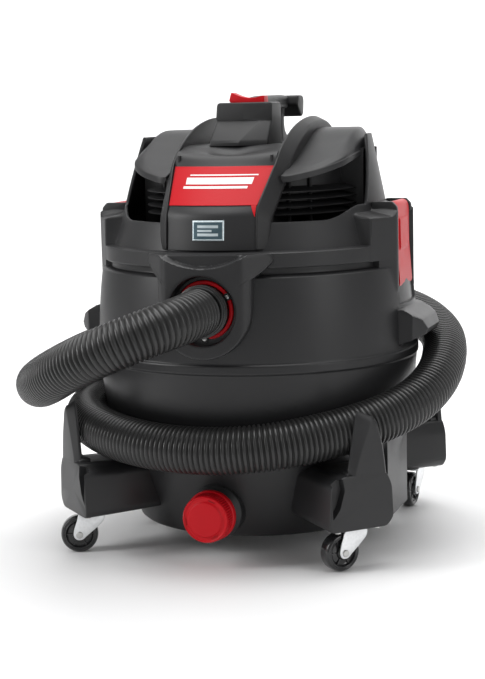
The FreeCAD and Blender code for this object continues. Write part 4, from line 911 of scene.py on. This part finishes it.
def caster_fork():
    """Pressed fork: two tapered cheeks, the bridge over the wheel, raceway, kingpin and axle bosses."""
    cheek = [(-13, 54.5), (-14, 46), (-4, 36), (12, 23), (17, 18), (25, 18), (29.5, 23.5), (28.5, 33),
             (23.5, 46), (22, 54.5)]
    parts = [slab(cheek, low, low + 2.2, "front", 0.7, 5) for low in (-13.8, 11.6)]
    parts.append(slab([(-14, -13.8), (20, -13.8), (22, -10), (22, 10), (20, 13.8), (-14, 13.8), (-16, 10),
                       (-16, -10)], 53.0, 55.6,
                      "plan", 0.9, 3))
    for y in (-12.7, 12.7):
        parts.append(turning([(0.01, y - 1.5), (4.6, y - 1.5), (4.6, y + 1.5), (0.01, y + 1.5)], "Y",
                             (TRAIL, 0, WHEEL_R), 24, 0.6, tube=False))
    parts.append(turning([(0.01, 55), (12, 55), (13.5, 56), (12, 57.4), (0.01, 57.4)], "Z", (0, 0, 0), 36,
                         0.6, tube=False))
    parts.append(turning([(0.01, 52), (4.95, 52), (4.95, 93.5), (0.01, 94)], "Z", (0, 0, 0), 24, 0.6,
                         tube=False))
    return parts


def caster_wheel():
    """Wheel: crowned tread, a groove beside it, a dished web with six ribs and a hub."""
    half = [(3.3, 10), (7.6, 10), (8.6, 9.2), (9.4, 6.2), (15.5, 5.4), (17.2, 6.4), (18.6, 9.4), (19.6, 9.7),
            (20.2, 9.0), (21.0, 9.0),
            (21.6, 9.7), (23.4, 9.2), (24.8, 7.2), (25.35, 4)]
    whole = half + [(r, -y) for r, y in reversed(half)]
    parts = [turning(whole, "Y", (TRAIL, 0, WHEEL_R), 96, 0.5)]
    for turn in np.radians(np.arange(0, 360, 60)):
        c, s = math.cos(turn), math.sin(turn)
        outline = [(TRAIL + c * r - s * w, WHEEL_R + s * r + c * w) for r,
                   w in ((7.5, -0.8), (18, -0.8), (18, 0.8), (7.5, 0.8))]
        parts.append(slab(outline, -7.6, 7.6, "front", 0.5, 0.6))
    return parts


HEADINGS = {"front_left": 203.0, "front_right": 229.0, "rear_left": 215.0, "rear_right": 264.0}


class VACUUM_OT_casters(bpy.types.Operator):
    """Makes the four swivel casters: forks, axles and wheels"""

    bl_idname = "vacuum.casters"
    bl_label = "Casters"

    def execute(self, context):
        axle = [turning([(0.01, -15.6), (4.2, -15.6), (4.8, -14.6), (4.8, -13.9), (2.9, -13.8), (2.9, 13.8),
                         (4.8, 13.9), (4.8, 14.6),
                         (4.2, 15.6), (0.01, 15.6)], "Y", (TRAIL, 0, WHEEL_R), 24, 0.4, tube=False)]
        for corner, (x_way, y_way) in CORNERS.items():
            place = (182 * x_way, 182 * y_way)
            for name, parts, body, slot in (("fork", caster_fork(), "caster_", "zinc"),
                                            ("axle", axle, "caster_", "bearing_steel"),
                                            ("wheel", caster_wheel(), "wheel_", "wheel_plastic")):
                placed = [turned_part(part, HEADINGS[corner], place) for part in parts]
                piece("%s_%s" % (name, corner), placed, body + corner, slot,
                      ["caster_%s_%s" % (name, corner)])
        return {"FINISHED"}


# ---- head -----------------------------------------------------------------------------------
def head_radius(z):
    """Outside of the lid's cone, and of the steeper pillars above its sill."""
    return np.where(z < 459, 198 - 0.31 * (z - 412), 183.4 - 0.2 * (z - 459))


def lid_top(angle):
    """Height of the lid shell's upper edge: the vents' sill, and up the slanted pillars to the hoods at
    the sides."""
    along = 172 * np.sin(angle)
    sill = 447 + 17 * smooth_step(120, 62, np.abs(along))
    wall = np.interp(along, [-62, -58, -18, -6, 70, 98, 104], [440, 452, 530, 556, 556, 452, 440])
    return soft_max(sill, wall, 4.0)


def lid_radius(z, angle):
    """Outside of the lid: skirt, a step, the cone above it, and the latch ears at the sides with the
    latch's pocket."""
    away, cosine, sine = from_side(angle)
    skirt = np.interp(z, [391, 392.3, 410.2, 411.2, 411.8, 412.4], [209.6, 211, 211, 209.6, 207.5, 198.6])
    wall = np.where(z < 412.4, skirt, head_radius(z))
    ear = soft_min(215 / cosine, 211.2 / (0.865 * cosine + 0.503 * sine), 2.0)
    beyond = smooth_step(26.2, 28.0, away)
    lying = 455 - 8 * smooth_step(44, 56, 205 * sine)
    top = smooth_step(lying, lying + 8, z)
    wall = np.where(away < 28.5, wall + np.maximum(ear - wall, 0) * (1 - beyond) * (1 - top), wall)
    pocket = 1 - smooth_step(42.4, 43.8, 206 * sine / cosine)
    return wall + np.minimum(205 / cosine - wall, 0) * pocket


def lid_shell():
    """Closed wall of the lid: outside, upper edge, inside, pan, and back under the skirt."""
    angle = around_angles()
    edge = lid_top(angle)[None, :]
    low = np.concatenate([np.linspace(391, 394, 4), np.linspace(396, 409, 5), np.linspace(410, 413, 7),
                          np.linspace(416, 447, 12)])
    rise = ((np.arange(1, 21) / 20) ** 1.5)[:, None]
    z = np.concatenate([low[:, None] * np.ones(len(angle)), 447 + (edge - 447) * rise])
    radius = lid_radius(z, angle[None, :])
    lip = [(radius[-1] - 0.5, edge[0] + 0.9), (radius[-1] - 2, edge[0] + 1.3),
           (radius[-1] - 3.6, edge[0] + 0.7),
           (radius[-1] - 4.4, edge[0] - 1.5)]
    inner_z = np.linspace(1, 0, 9)[1:, None] * (edge - 410) + 408
    inner = [(head_radius(h) - 5.5, h) for h in inner_z]
    pan = [(np.full(len(angle), r), np.full(len(angle), h)) for r, h in
           ((192.0, 404.4), (120, 404.2), (60, 404), (29, 404), (29, 400), (60, 400), (150, 400.2),
            (203.6, 400.2), (203.6, 391.2))]
    rings = [(radius[k], z[k]) for k in range(len(z))] + lip + inner + pan
    radii = np.stack([np.broadcast_to(r, angle.shape) for r, _ in rings])
    heights = np.stack([np.broadcast_to(h, angle.shape) for _, h in rings])
    return skin(np.stack([radii * np.cos(angle), radii * np.sin(angle), heights], axis=-1), tube=True)


def ear_cheeks():
    """Blocks on the right ear either side of the latch's barrel."""
    view = [(178, 450), (213.6, 450), (213, 460), (206.5, 467), (178, 467)]
    return [slab(view, low, low + 8.2, "front", 1.2, 2) for low in (-46, 37.8)]


class VACUUM_OT_lid(bpy.types.Operator):
    """Makes the lid: skirt, cone up to the vents' sills, side pillars, latch ears"""

    bl_idname = "vacuum.lid"
    bl_label = "Lid"

    def execute(self, context):
        cheeks = ear_cheeks()
        piece("lid_shell", [lid_shell()] + cheeks + [mirrored(part) for part in cheeks], "head",
              "head_plastic", ["lid"], sharp=32)
        return {"FINISHED"}


def hood():
    """Right hood: level sections across it from the front tip to the back one, with a sloping top, a
    shoulder and a rim band."""
    y = np.concatenate([np.linspace(-137.5, -128, 9), np.linspace(-125, 125, 64), np.linspace(128, 137.5, 9)])
    edge = [(-138, 84), (-135, 92), (-127, 104), (-113, 122), (-90, 141), (-66, 151.5), (-20, 155.5),
            (30, 155.5), (66, 151.5),
            (90, 141), (113, 122), (127, 104), (135, 92), (138, 84)]
    outer = np.interp(y, *np.transpose(flowing(edge, 200)))
    low = np.interp(y, [-138, -90, -65, 30, 90, 138], [498, 513, 520, 537, 533, 524])
    back = np.where(y < 70, 566, 566 - 0.0125 * (y - 70) ** 2)
    band = np.interp(y, [-138, -60, 30, 138], [8.0, 8.0, 4.5, 8.0])
    rings = []
    for at, x_out, z_low, z_back, tall in zip(y, outer, low, back, band):
        x = np.array([80.0, x_out - 13.0])
        top = np.maximum(soft_min(506 + 0.4 * (at + 130) + 0.08 * (x - 88), z_back, 10.0), z_low + tall + 0.5)
        corners = [(80, top[0]), (max(x_out - 13.0, 80.5), top[1]),
                   (x_out - 2.0, z_low + tall + 0.4 * (top[1] - z_low - tall)),
                   (x_out - 0.6, z_low + tall), (x_out + 0.8, z_low + tall - 0.8), (x_out + 1.0, z_low),
                   (x_out - 3, z_low + 0.2),
                   (x_out - 5, z_low + 4), (80, z_low + 4)]
        line = rounded(corners, [1, 5, 4, 0.4, 0.8, 0.8, 1, 2, 1], 4)
        rings.append(np.stack([line[:, 0], np.full(len(line), at), line[:, 1]], axis=1))
    return skin(np.stack(rings))


class VACUUM_OT_covers(bpy.types.Operator):
    """Makes the two hoods over the side vents and the louvred grilles behind them"""

    bl_idname = "vacuum.covers"
    bl_label = "Side covers"

    def execute(self, context):
        grille = [skin(spun(rounded([(126, 452), (129, 452), (129, 520), (126, 520)], 0.5, 2), "Z", (0, 0, 0),
                            128), tube=True)]
        for z in (460, 470, 480, 490):
            line = rounded([(128.5, z - 1), (150, z - 6), (150.6, z - 4.6), (128.5, z + 1.6)], 0.5, 2)
            grille.append(skin(spun(line, "Z", (0, 0, 0), 128), tube=True))
        for side, way in (("right", 1), ("left", -1)):
            piece("hood_" + side, [mirrored(hood(), way)], "head", "head_plastic", ["side_cover_" + side])
            posts = []
            for turn in (-52, -38, 38, 52):
                spot = 132.0 * np.array([math.cos(math.radians(turn)), math.sin(math.radians(turn))])
                x, y = spot[0] * way, spot[1]
                posts.append(slab([(x - 2, y - 2), (x + 2, y - 2), (x + 2, y + 2), (x - 2, y + 2)], 404, 520,
                                  "plan", 0.5, 1))
            keep = piece("louvres_" + side, posts + grille, "head", "dark_plastic", ["vent_grille_" + side])
            away = slab([(-way * 200, -200), (way * 66, -200), (way * 66, 200), (-way * 200, 200)], 395, 540,
                        "plan", 0.1, 0.1)
            carve(keep, [away])
            wall = [slab([(66, y), (160, y), (160, y + 3), (66, y + 3)], 404, 538, "plan", 0.5,
                         0.5) for y in (-14, 62)]
            wall.append(slab([(63, -128), (66, -128), (66, 128), (63, 128)], 420, 534, "plan", 0.5, 0.5))
            piece("bulkheads_" + side, [mirrored(part, way) for part in wall], "head", "dark_plastic")
        return {"FINISHED"}


BRIDGE_LINE = [(-204, 414.6), (-200.2, 455.5), (-199.6, 459), (-196.5, 463.5), (-190.6, 469.4),
               (-189.2, 470.8),
               (-138.4, 519.7), (-136.6, 521.6), (-127, 533), (-110, 541), (-90, 546.5), (118, 547),
               (158, 532), (186, 492),
               (204, 446), (212, 414.6)]


def bridge_half(z):
    """Half the width between the rails: narrow down the front panel, wider up the label."""
    return np.interp(z, [414, 470, 523], [61.3, 61.3, 70.5])


def front_bow(y, share):
    """How far the front is bowed back at a share of the half width."""
    return np.interp(y, [-200, -190, -140, -118, 120, 200], [14.0, 10.5, 9.5, 0.0, 0.0, -5.0]) * share ** 2


def front_y(x, z):
    """Front of the centre strip at a place across and up."""
    line = np.array(BRIDGE_LINE[:9])
    middle = np.interp(z, line[:, 1], line[:, 0])
    return middle + front_bow(middle, x / bridge_half(z))


def bridge_skin():
    """Centre strip: a line from the front panel's foot over the deck and down the back, carried across and
    bowed in plan."""
    line = spaced(rounded(BRIDGE_LINE, [2, 3, 2, 2, 1.5, 1.5, 1.5, 2, 6, 8, 14, 30, 24, 18, 10, 2], 5,
                          closed=False), 190)
    share = np.linspace(-1, 1, 41)
    across = bridge_half(line[:, 1])[:, None] * share
    out = np.zeros_like(across)
    section = np.concatenate([np.stack([across, out], axis=-1),
                              np.stack([across[:, ::-1], out - 4.0], axis=-1)], axis=1)
    rings = carried(section, side_line(line))
    rings[..., 1] += front_bow(line[:, 0][:, None], np.concatenate([share, share[::-1]]))
    rings[..., 2] -= 13 * np.exp(-(rings[..., 0] / 50) ** 2 - ((rings[..., 1] + 96) / 19) ** 2)
    return skin(rings)


LABEL_FOOT, LABEL_HEAD = np.array([-189.2, 470.8]), np.array([-138.4, 519.7])


def label_skin(low, high, lift, thick, half_share=0.985, left=-1.0, right=1.0):
    """Panel on the front slope between two shares of its length, standing lift proud, thick deep."""
    at = np.linspace(low, high, 40)[:, None]
    line = LABEL_FOOT + (LABEL_HEAD - LABEL_FOOT) * at
    share = half_share * np.linspace(left, right, 41)
    across = bridge_half(line[:, 1])[:, None] * share
    out = np.zeros_like(across)
    section = np.concatenate([np.stack([across, out + lift], axis=-1),
                              np.stack([across[:, ::-1], out + lift - thick], axis=-1)], axis=1)
    rings = carried(section, side_line(line))
    rings[..., 1] += front_bow(line[:, 0][:, None], np.concatenate([share, share[::-1]]))
    return rings


def rail():
    """Right rail: a flat band that leans outwards, carried from the panel's foot over the top and down the
    back."""
    line = flowing([(-192, 414.6), (-190, 440), (-187, 459), (-178, 476), (-156, 498.5), (-131, 523.5),
                    (-100, 546), (-50, 567),
                    (5, 579), (60, 582), (105, 573), (150, 545), (182, 500), (204, 452), (214, 414.6)], 160)
    y, z = line[:, 0], line[:, 1]
    inner = np.where(y < 0, np.interp(z, [414, 470, 523], [61.1, 61.1, 70.3]), 70.3)
    outer = np.where(y < 0, np.interp(z, [414, 470, 520, 560], [74.6, 76.7, 82.6, 84.1]), 84.1)
    lean = np.interp(y, [-192, -180, -131, -80, -10, 216], [12, 17, 18, 12, 6, 4])
    depth = np.interp(y, [-192, -150, -60, 40, 120, 216], [24, 26, 30, 34, 24, 18])
    sections = np.stack([rounded([(a, 0), (a + 2, 0.2), (b - 1, -t), (b + 0.5, -t - 3), (b + 0.5, -d),
                                  (a, -d)],
                                 [0.6, 1.0, 1.4, 1.4, 1, 1], 4) for a, b, t,
                         d in zip(inner, outer, lean, depth)])
    return skin(eased(carried(sections, side_line(line)), 1.2))


def badge_plate():
    """Bordered plate with three bars: a fine grid of places, each with 1 where it is printed pale."""
    across, up = np.meshgrid(np.linspace(-1, 1, 121), np.linspace(-1, 1, 81), indexing="ij")
    border = (np.abs(across) > 0.90) | (np.abs(up) > 0.84)
    bars = (np.abs(across) < 0.66) & (np.abs(np.abs(up) - 0.40) < 0.13)
    bars |= (np.abs(across + 0.2) < 0.46) & (np.abs(up) < 0.10)
    return across, up, (border | bars).astype(float)


class VACUUM_OT_bridge(bpy.types.Operator):
    """Makes the bridge between the rails: front panel, badge, red label with stripes, deck and back, and
    the two rails"""

    bl_idname = "vacuum.bridge"
    bl_label = "Bridge and rails"

    def execute(self, context):
        piece("bridge_strip", [bridge_skin()], "head", "head_plastic", ["bridge"], sharp=28)
        right = rail()
        piece("rail_band_right", [right], "head", "dark_plastic", ["rail_right"])
        piece("rail_band_left", [mirrored(right)], "head", "dark_plastic", ["rail_left"])
        z = np.linspace(457, 472, 12)[:, None] + np.zeros(6)
        x = 59.6 - np.interp(z, [457, 472], [0.3, 7.0]) * np.linspace(1, 0, 6)
        face = front_y(x, z)
        spike = skin(np.concatenate([np.stack([x, face - 1.1, z], axis=-1),
                                     np.stack([x, face + 1.2, z], axis=-1)[:, ::-1]], axis=1))
        piece("front_label", [skin(eased(label_skin(0.0, 0.99, 1.1, 2.6), 0.5)), spike], "head",
              "red_plastic", ["label_panel"])
        bars = []
        for low, high, left, far in ((0.42, 0.48, -0.72, 0.66), (0.53, 0.70, -0.68, 0.72),
                                     (0.75, 0.78, -0.62, 0.78)):
            bars.append(skin(label_skin(low, high, 1.35, 0.6, 0.985, left, far)))
        piece("label_stripes", bars, "head", "label_print")
        across, up, printed = badge_plate()
        x, z = 21.6 * across, 440.0 + 13.0 * up
        front = front_y(x, z)
        drawn = 1.0 - np.maximum(np.abs(across), np.abs(up)) ** 24
        rings = np.stack([x, front - 0.2 - 1.2 * drawn, z], axis=-1)
        behind = np.stack([x[:, ::-1], front[:, ::-1] + 1.0, z[:, ::-1]], axis=-1)
        points, quads, tris = skin(np.concatenate([rings, behind], axis=1))
        mesh = bpy.data.meshes.new("badge")
        mesh.from_pydata(points * MM, [], quads.tolist() + tris.tolist())
        mark = mesh.attributes.new("print", "FLOAT", "POINT")
        mark.data.foreach_set("value", np.concatenate([np.concatenate([printed, printed * 0], axis=1).ravel(),
                                                       [0.0, 0.0]]))
        finished("badge", mesh, "head", "badge_plate", ["badge_plate"])
        return {"FINISHED"}


class VACUUM_OT_tower(bpy.types.Operator):
    """Makes the switch tower with its faceted front and a well in its top, and the rocker"""

    bl_idname = "vacuum.tower"
    bl_label = "Switch tower"

    def execute(self, context):
        levels = [(545, (-41, 0), (-40, -75), (3, -77), (40, -63), (41, 0)),
                  (549, (-41, 0), (-40, -75), (3, -77), (40, -63), (41, 0)),
                  (553, (-41, 0), (-39.6, -72.5), (5, -74), (39.9, -61), (41, 0)),
                  (576, (-41, 0), (-38.5, -47.5), (22, -48.5), (40, -44.5), (41, 0)),
                  (578, (-41, 0), (-38, -44.5), (24, -45.5), (40, -43), (41, 0)),
                  (581, (-41, 0), (-40.4, -44.3), (0, -46.0), (40.4, -44.3), (41, 0)),
                  (598, (-40.5, 0), (-40, -41.6), (0, -43), (40, -41.6), (40.5, 0)),
                  (601.5, (-39.7, -0.6), (-39, -40.4), (0, -41.6), (39, -40.4), (39.7, -0.6)),
                  (603, (-37.5, -2.6), (-36.7, -37.8), (0, -38.8), (36.7, -37.8), (37.5, -2.6))]
        rings = []
        for z, *corners in levels:
            line = rounded(corners, [2, 3.0, 1.2, 3.0, 2], 5)
            rings.append(np.column_stack([line, np.full(len(line), z)]))
        block = piece("tower_block", [skin(np.stack(rings))], "head", "dark_plastic", ["switch_tower"],
                      sharp=24)
        well = slab([(-29, -35), (29, -35), (29, -9), (-29, -9)], 556, 606, "plan", 0.5, 2)
        carve(block, [well])
        view = [(-26, 602), (-23.8, 614.5), (-11, 610.4), (0, 609.0), (11, 610.4), (23.8, 614.5), (26, 602),
                (8, 591), (-8, 591)]
        key = slab(view, -31.6, -12.4, "front", 1.2, [2, 1.6, 12, 12, 12, 1.6, 2, 3, 3])
        points, quads, tris = key
        c, s = math.cos(math.radians(6)), math.sin(math.radians(6))
        x, z = points[:, 0], points[:, 2] - 595
        turned = np.stack([x * c + z * s, points[:, 1], 595 - x * s + z * c], axis=1)
        piece("rocker_key", [(turned, quads, tris)], "rocker", "red_plastic", ["switch_rocker"])
        return {"FINISHED"}


class VACUUM_OT_handle(bpy.types.Operator):
    """Makes the carry handle with its cleat end and flared post"""

    bl_idname = "vacuum.handle"
    bl_label = "Carry handle"

    def execute(self, context):
        line = flowing([(-2, 594), (14, 599), (45, 602.5), (80, 603.5), (112, 602.5), (136, 599)], 50)
        at = line[:, 0]
        half = np.interp(at, [-2, 20, 60, 100, 136], [20, 19, 18, 19, 20])
        tall = np.interp(at, [-2, 30, 70, 110, 136], [10, 9.6, 9.0, 9.6, 10])
        sections = np.stack([rounded([(-w, -t + 4), (-w, t - 4), (-w + 5, t), (w - 5, t), (w, t - 4),
                                      (w, -t + 4), (w - 5, -t), (-w + 5, -t)],
                                     4, 4) for w, t in zip(half, tall)])
        grip = skin(eased(carried(sections, side_line(line)), 3))
        cleat = slab([(105, 598), (109, 612), (134, 612), (139.5, 606), (136, 584), (127, 580.4), (120, 586)],
                     -33.6, 33.6, "side", 3.0, 4)
        levels = [(545, 40, 76, 21), (551, 34, 80, 18), (563, 19, 86, 15), (584, 16, 87, 14.6),
                  (598, 17, 87, 16)]
        rings = []
        for z, deep, start, wide in levels:
            line = rounded([(-wide, start), (wide, start), (wide, start + deep), (-wide, start + deep)], 5, 5)
            rings.append(np.column_stack([line, np.full(len(line), z)]))
        leg = skin(flowing_rings(np.stack(rings), 24))
        piece("handle_grip", [grip, cleat, leg], "head", "dark_plastic", ["carry_handle"], sharp=32)
        return {"FINISHED"}


def flowing_rings(rings, count):
    """Rings blended smoothly into count rings."""
    shape = rings.shape
    return flowing(rings.reshape(shape[0], -1), count).reshape(count, *shape[1:])


class VACUUM_OT_latches(bpy.types.Operator):
    """Makes the two red latches"""

    bl_idname = "vacuum.latches"
    bl_label = "Latches"

    def execute(self, context):
        view = [(196.6, 464), (200, 466.4), (205, 466.2), (209.4, 463.2), (211.2, 456), (211.6, 396),
                (214.8, 356), (213.8, 352.2),
                (209.6, 352.2), (205.7, 378), (205.7, 459.7), (197.6, 459.7)]
        radii = [2, 2, 3, 3, 3, 10, 1.5, 1.5, 1.5, 6, 1, 1.5]
        plate = slab(view, -36.8, 36.8, "front", 2.2, radii)
        wedge = skin(np.stack([[(210.8, -36.0, 416), (210.8, 36.0, 416), (209, 0, 414)],
                               [(214.9, -36.8, 356), (214.9, 36.8, 356), (211, 0, 356)],
                               [(213.9, -36.8, 352.6), (213.9, 36.8, 352.6), (211, 0, 352.6)]]))
        rib = slab([(210.4, 446), (212.8, 442), (213.4, 404), (211, 396)], -24, 24, "front", 1.5, 1.5)
        for side, way in (("right", 1), ("left", -1)):
            piece("latch_plate_" + side, [mirrored(part, way) for part in (plate, rib, wedge)],
                  "latch_" + side, "red_plastic",
                  ["latch_" + side], sharp=28)
        return {"FINISHED"}


class VACUUM_OT_outlets(bpy.types.Operator):
    """Makes the blower outlet and the cord grommet at the back"""

    bl_idname = "vacuum.outlets"
    bl_label = "Outlets"

    def execute(self, context):
        port = turning([(31.75, 168), (35.6, 168), (35.6, 226), (37.6, 227.5), (37.6, 232), (36, 233),
                        (33, 233), (31.75, 231.5)], "Y",
                       (0, 0, 478), 96, 0.8)
        piece("outlet_port", [port], "head", "dark_plastic", ["blower_port"])
        grommet = [turning([(4, 203), (8.8, 203), (8.8, 212.6), (12, 212.6), (12, 215), (10.5, 216), (5, 216),
                            (4, 215)], "Y",
                           (-40, 0, 432), 40, 0.6)]
        piece("grommet", grommet, "head", "seal_rubber", ["cord_grommet"])
        return {"FINISHED"}


class VACUUM_OT_insides(bpy.types.Operator):
    """Gives every CAD part that still shows the material of its slot"""

    bl_idname = "vacuum.insides"
    bl_label = "Inner parts"

    def execute(self, context):
        for name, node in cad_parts.items():
            if node.hide_render:
                continue
            slot = node_slot(name)
            if not node.material_slots:
                node.data.materials.append(finish_for(slot))
            for place in node.material_slots:
                place.material = finish_for(slot)
        return {"FINISHED"}


def node_slot(name):
    """Slot of an inner part by what it is."""
    for word, slot in (("stator", "laminated_steel"), ("armature", "laminated_steel"),
                       ("shaft", "bearing_steel"),
                       ("bearing", "bearing_steel"), ("screw", "bearing_steel"), ("pins", "bearing_steel"),
                       ("axle", "bearing_steel"),
                       ("fan_wheel", "fan_aluminium"), ("gasket", "seal_rubber"), ("rings", "seal_rubber"),
                       ("cartridge", "filter_paper"), ("motor_housing", "zinc"),
                       ("float_ball", "head_plastic")):
        if word in name:
            return slot
    return "dark_plastic"


# ---- stage ----------------------------------------------------------------------------------
def soft_light(name, place, aim, size, power, tall=None):
    data = bpy.data.lights.new(name, "AREA")
    data.shape = "RECTANGLE"
    data.size = size
    data.size_y = tall or size
    data.energy = power
    lamp = bpy.data.objects.new(name, data)
    bpy.context.scene.collection.objects.link(lamp)
    lamp.location = place
    lamp.rotation_mode = "QUATERNION"
    lamp.rotation_quaternion = (Vector(aim) - Vector(place)).to_track_quat("-Z", "Y")


class VACUUM_OT_stage(bpy.types.Operator):
    """Sets the camera, the lights, the pale floor and the world"""

    bl_idname = "vacuum.stage"
    bl_label = "Stage"

    def execute(self, context):
        scene = context.scene
        lens = bpy.data.cameras.new("camera")
        lens.lens = 86.3
        lens.sensor_width = 36
        lens.shift_x = -0.00525
        lens.shift_y = -0.00141
        camera = bpy.data.objects.new("camera", lens)
        scene.collection.objects.link(camera)
        camera.location = (0.7035, -2.1749, 0.5972)
        way = Vector((-0.0165, -0.0055, 0.2715)) - camera.location
        camera.rotation_mode = "QUATERNION"
        roll = Matrix.Rotation(math.radians(-1.33), 4, "Z").to_quaternion()
        camera.rotation_quaternion = way.to_track_quat("-Z", "Y") @ roll
        scene.camera = camera

        deep = spaced(rounded([(-4.0, 0.0), (3.0, 0.0), (3.0, 4.0)], [0, 1.6, 0], 16, closed=False), 60)
        wide = np.linspace(-5, 5, 21)
        sweep = np.stack(np.broadcast_arrays(wide[None, :], deep[:, :1], deep[:, 1:]), axis=-1)
        i, j = np.arange(59)[:, None] * 21, np.arange(20)[None, :]
        quads = np.stack([i + j, i + j + 1, i + j + 22, i + j + 21], axis=-1).reshape(-1, 4)
        mesh = bpy.data.meshes.new("floor")
        mesh.from_pydata(sweep.reshape(-1, 3), [], quads.tolist())
        mesh.shade_smooth()
        floor = bpy.data.objects.new("floor", mesh)
        scene.collection.objects.link(floor)
        finish = Finish("floor_finish")
        cloud = finish.noise(2.0, 2.0)
        finish.feed("Base Color", finish.tint(cloud, (0.86, 0.86, 0.865, 1), (0.90, 0.90, 0.90, 1)))
        finish.feed("Roughness", 0.55 + 0.1 * cloud)
        mesh.materials.append(finish.material)

        world = bpy.data.worlds.new("studio")
        world.use_nodes = True
        world.node_tree.nodes["Background"].inputs[0].default_value = (1, 1, 1, 1)
        world.node_tree.nodes["Background"].inputs[1].default_value = 0.34
        scene.world = world
        centre = (0, 0, 0.3)
        soft_light("overhead", (0.0, 0.1, 2.8), centre, 2.6, 72)
        soft_light("key", (-1.9, -1.3, 1.3), centre, 0.7, 30, 1.5)
        soft_light("fill", (2.0, -0.9, 1.0), centre, 0.6, 9, 1.5)
        soft_light("backdrop", (0, 1.2, 2.2), (0, 3.0, 0.8), 3.0, 55, 1.0)
        scene.view_settings.view_transform = "Standard"
        return {"FINISHED"}


# ---- panel and run --------------------------------------------------------------------------
STEPS = [VACUUM_OT_stage, VACUUM_OT_hose, VACUUM_OT_drum, VACUUM_OT_inlet, VACUUM_OT_drain, VACUUM_OT_feet,
         VACUUM_OT_casters,
         VACUUM_OT_lid, VACUUM_OT_covers, VACUUM_OT_bridge, VACUUM_OT_tower, VACUUM_OT_handle,
         VACUUM_OT_latches,
         VACUUM_OT_outlets, VACUUM_OT_insides]


class VACUUM_PT_pieces(bpy.types.Panel):
    """Lists the sizes, the colours and a button for each group of pieces"""

    bl_idname = "VACUUM_PT_pieces"
    bl_label = "Vacuum"
    bl_space_type = "VIEW_3D"
    bl_region_type = "UI"
    bl_category = "Vacuum"

    def draw(self, context):
        layout = self.layout
        for group in (context.scene.vacuum_sizes, context.scene.vacuum_colours):
            column = layout.column()
            for key in group.bl_rna.properties.keys():
                if key not in ("rna_type", "name"):
                    column.prop(group, key)
        for step in STEPS:
            layout.operator(step.bl_idname)


CLASSES = [VacuumSizes, VacuumColours, *STEPS, VACUUM_PT_pieces]


def register():
    for kind in CLASSES:
        bpy.utils.register_class(kind)
    bpy.types.Scene.vacuum_sizes = bpy.props.PointerProperty(type=VacuumSizes)
    bpy.types.Scene.vacuum_colours = bpy.props.PointerProperty(type=VacuumColours)


def unregister():
    del bpy.types.Scene.vacuum_colours
    del bpy.types.Scene.vacuum_sizes
    for kind in reversed(CLASSES):
        bpy.utils.unregister_class(kind)


def main():
    register()
    for step in STEPS:
        group, name = step.bl_idname.split(".")
        getattr(getattr(bpy.ops, group), name)()


if __name__ == "__main__":
    main()
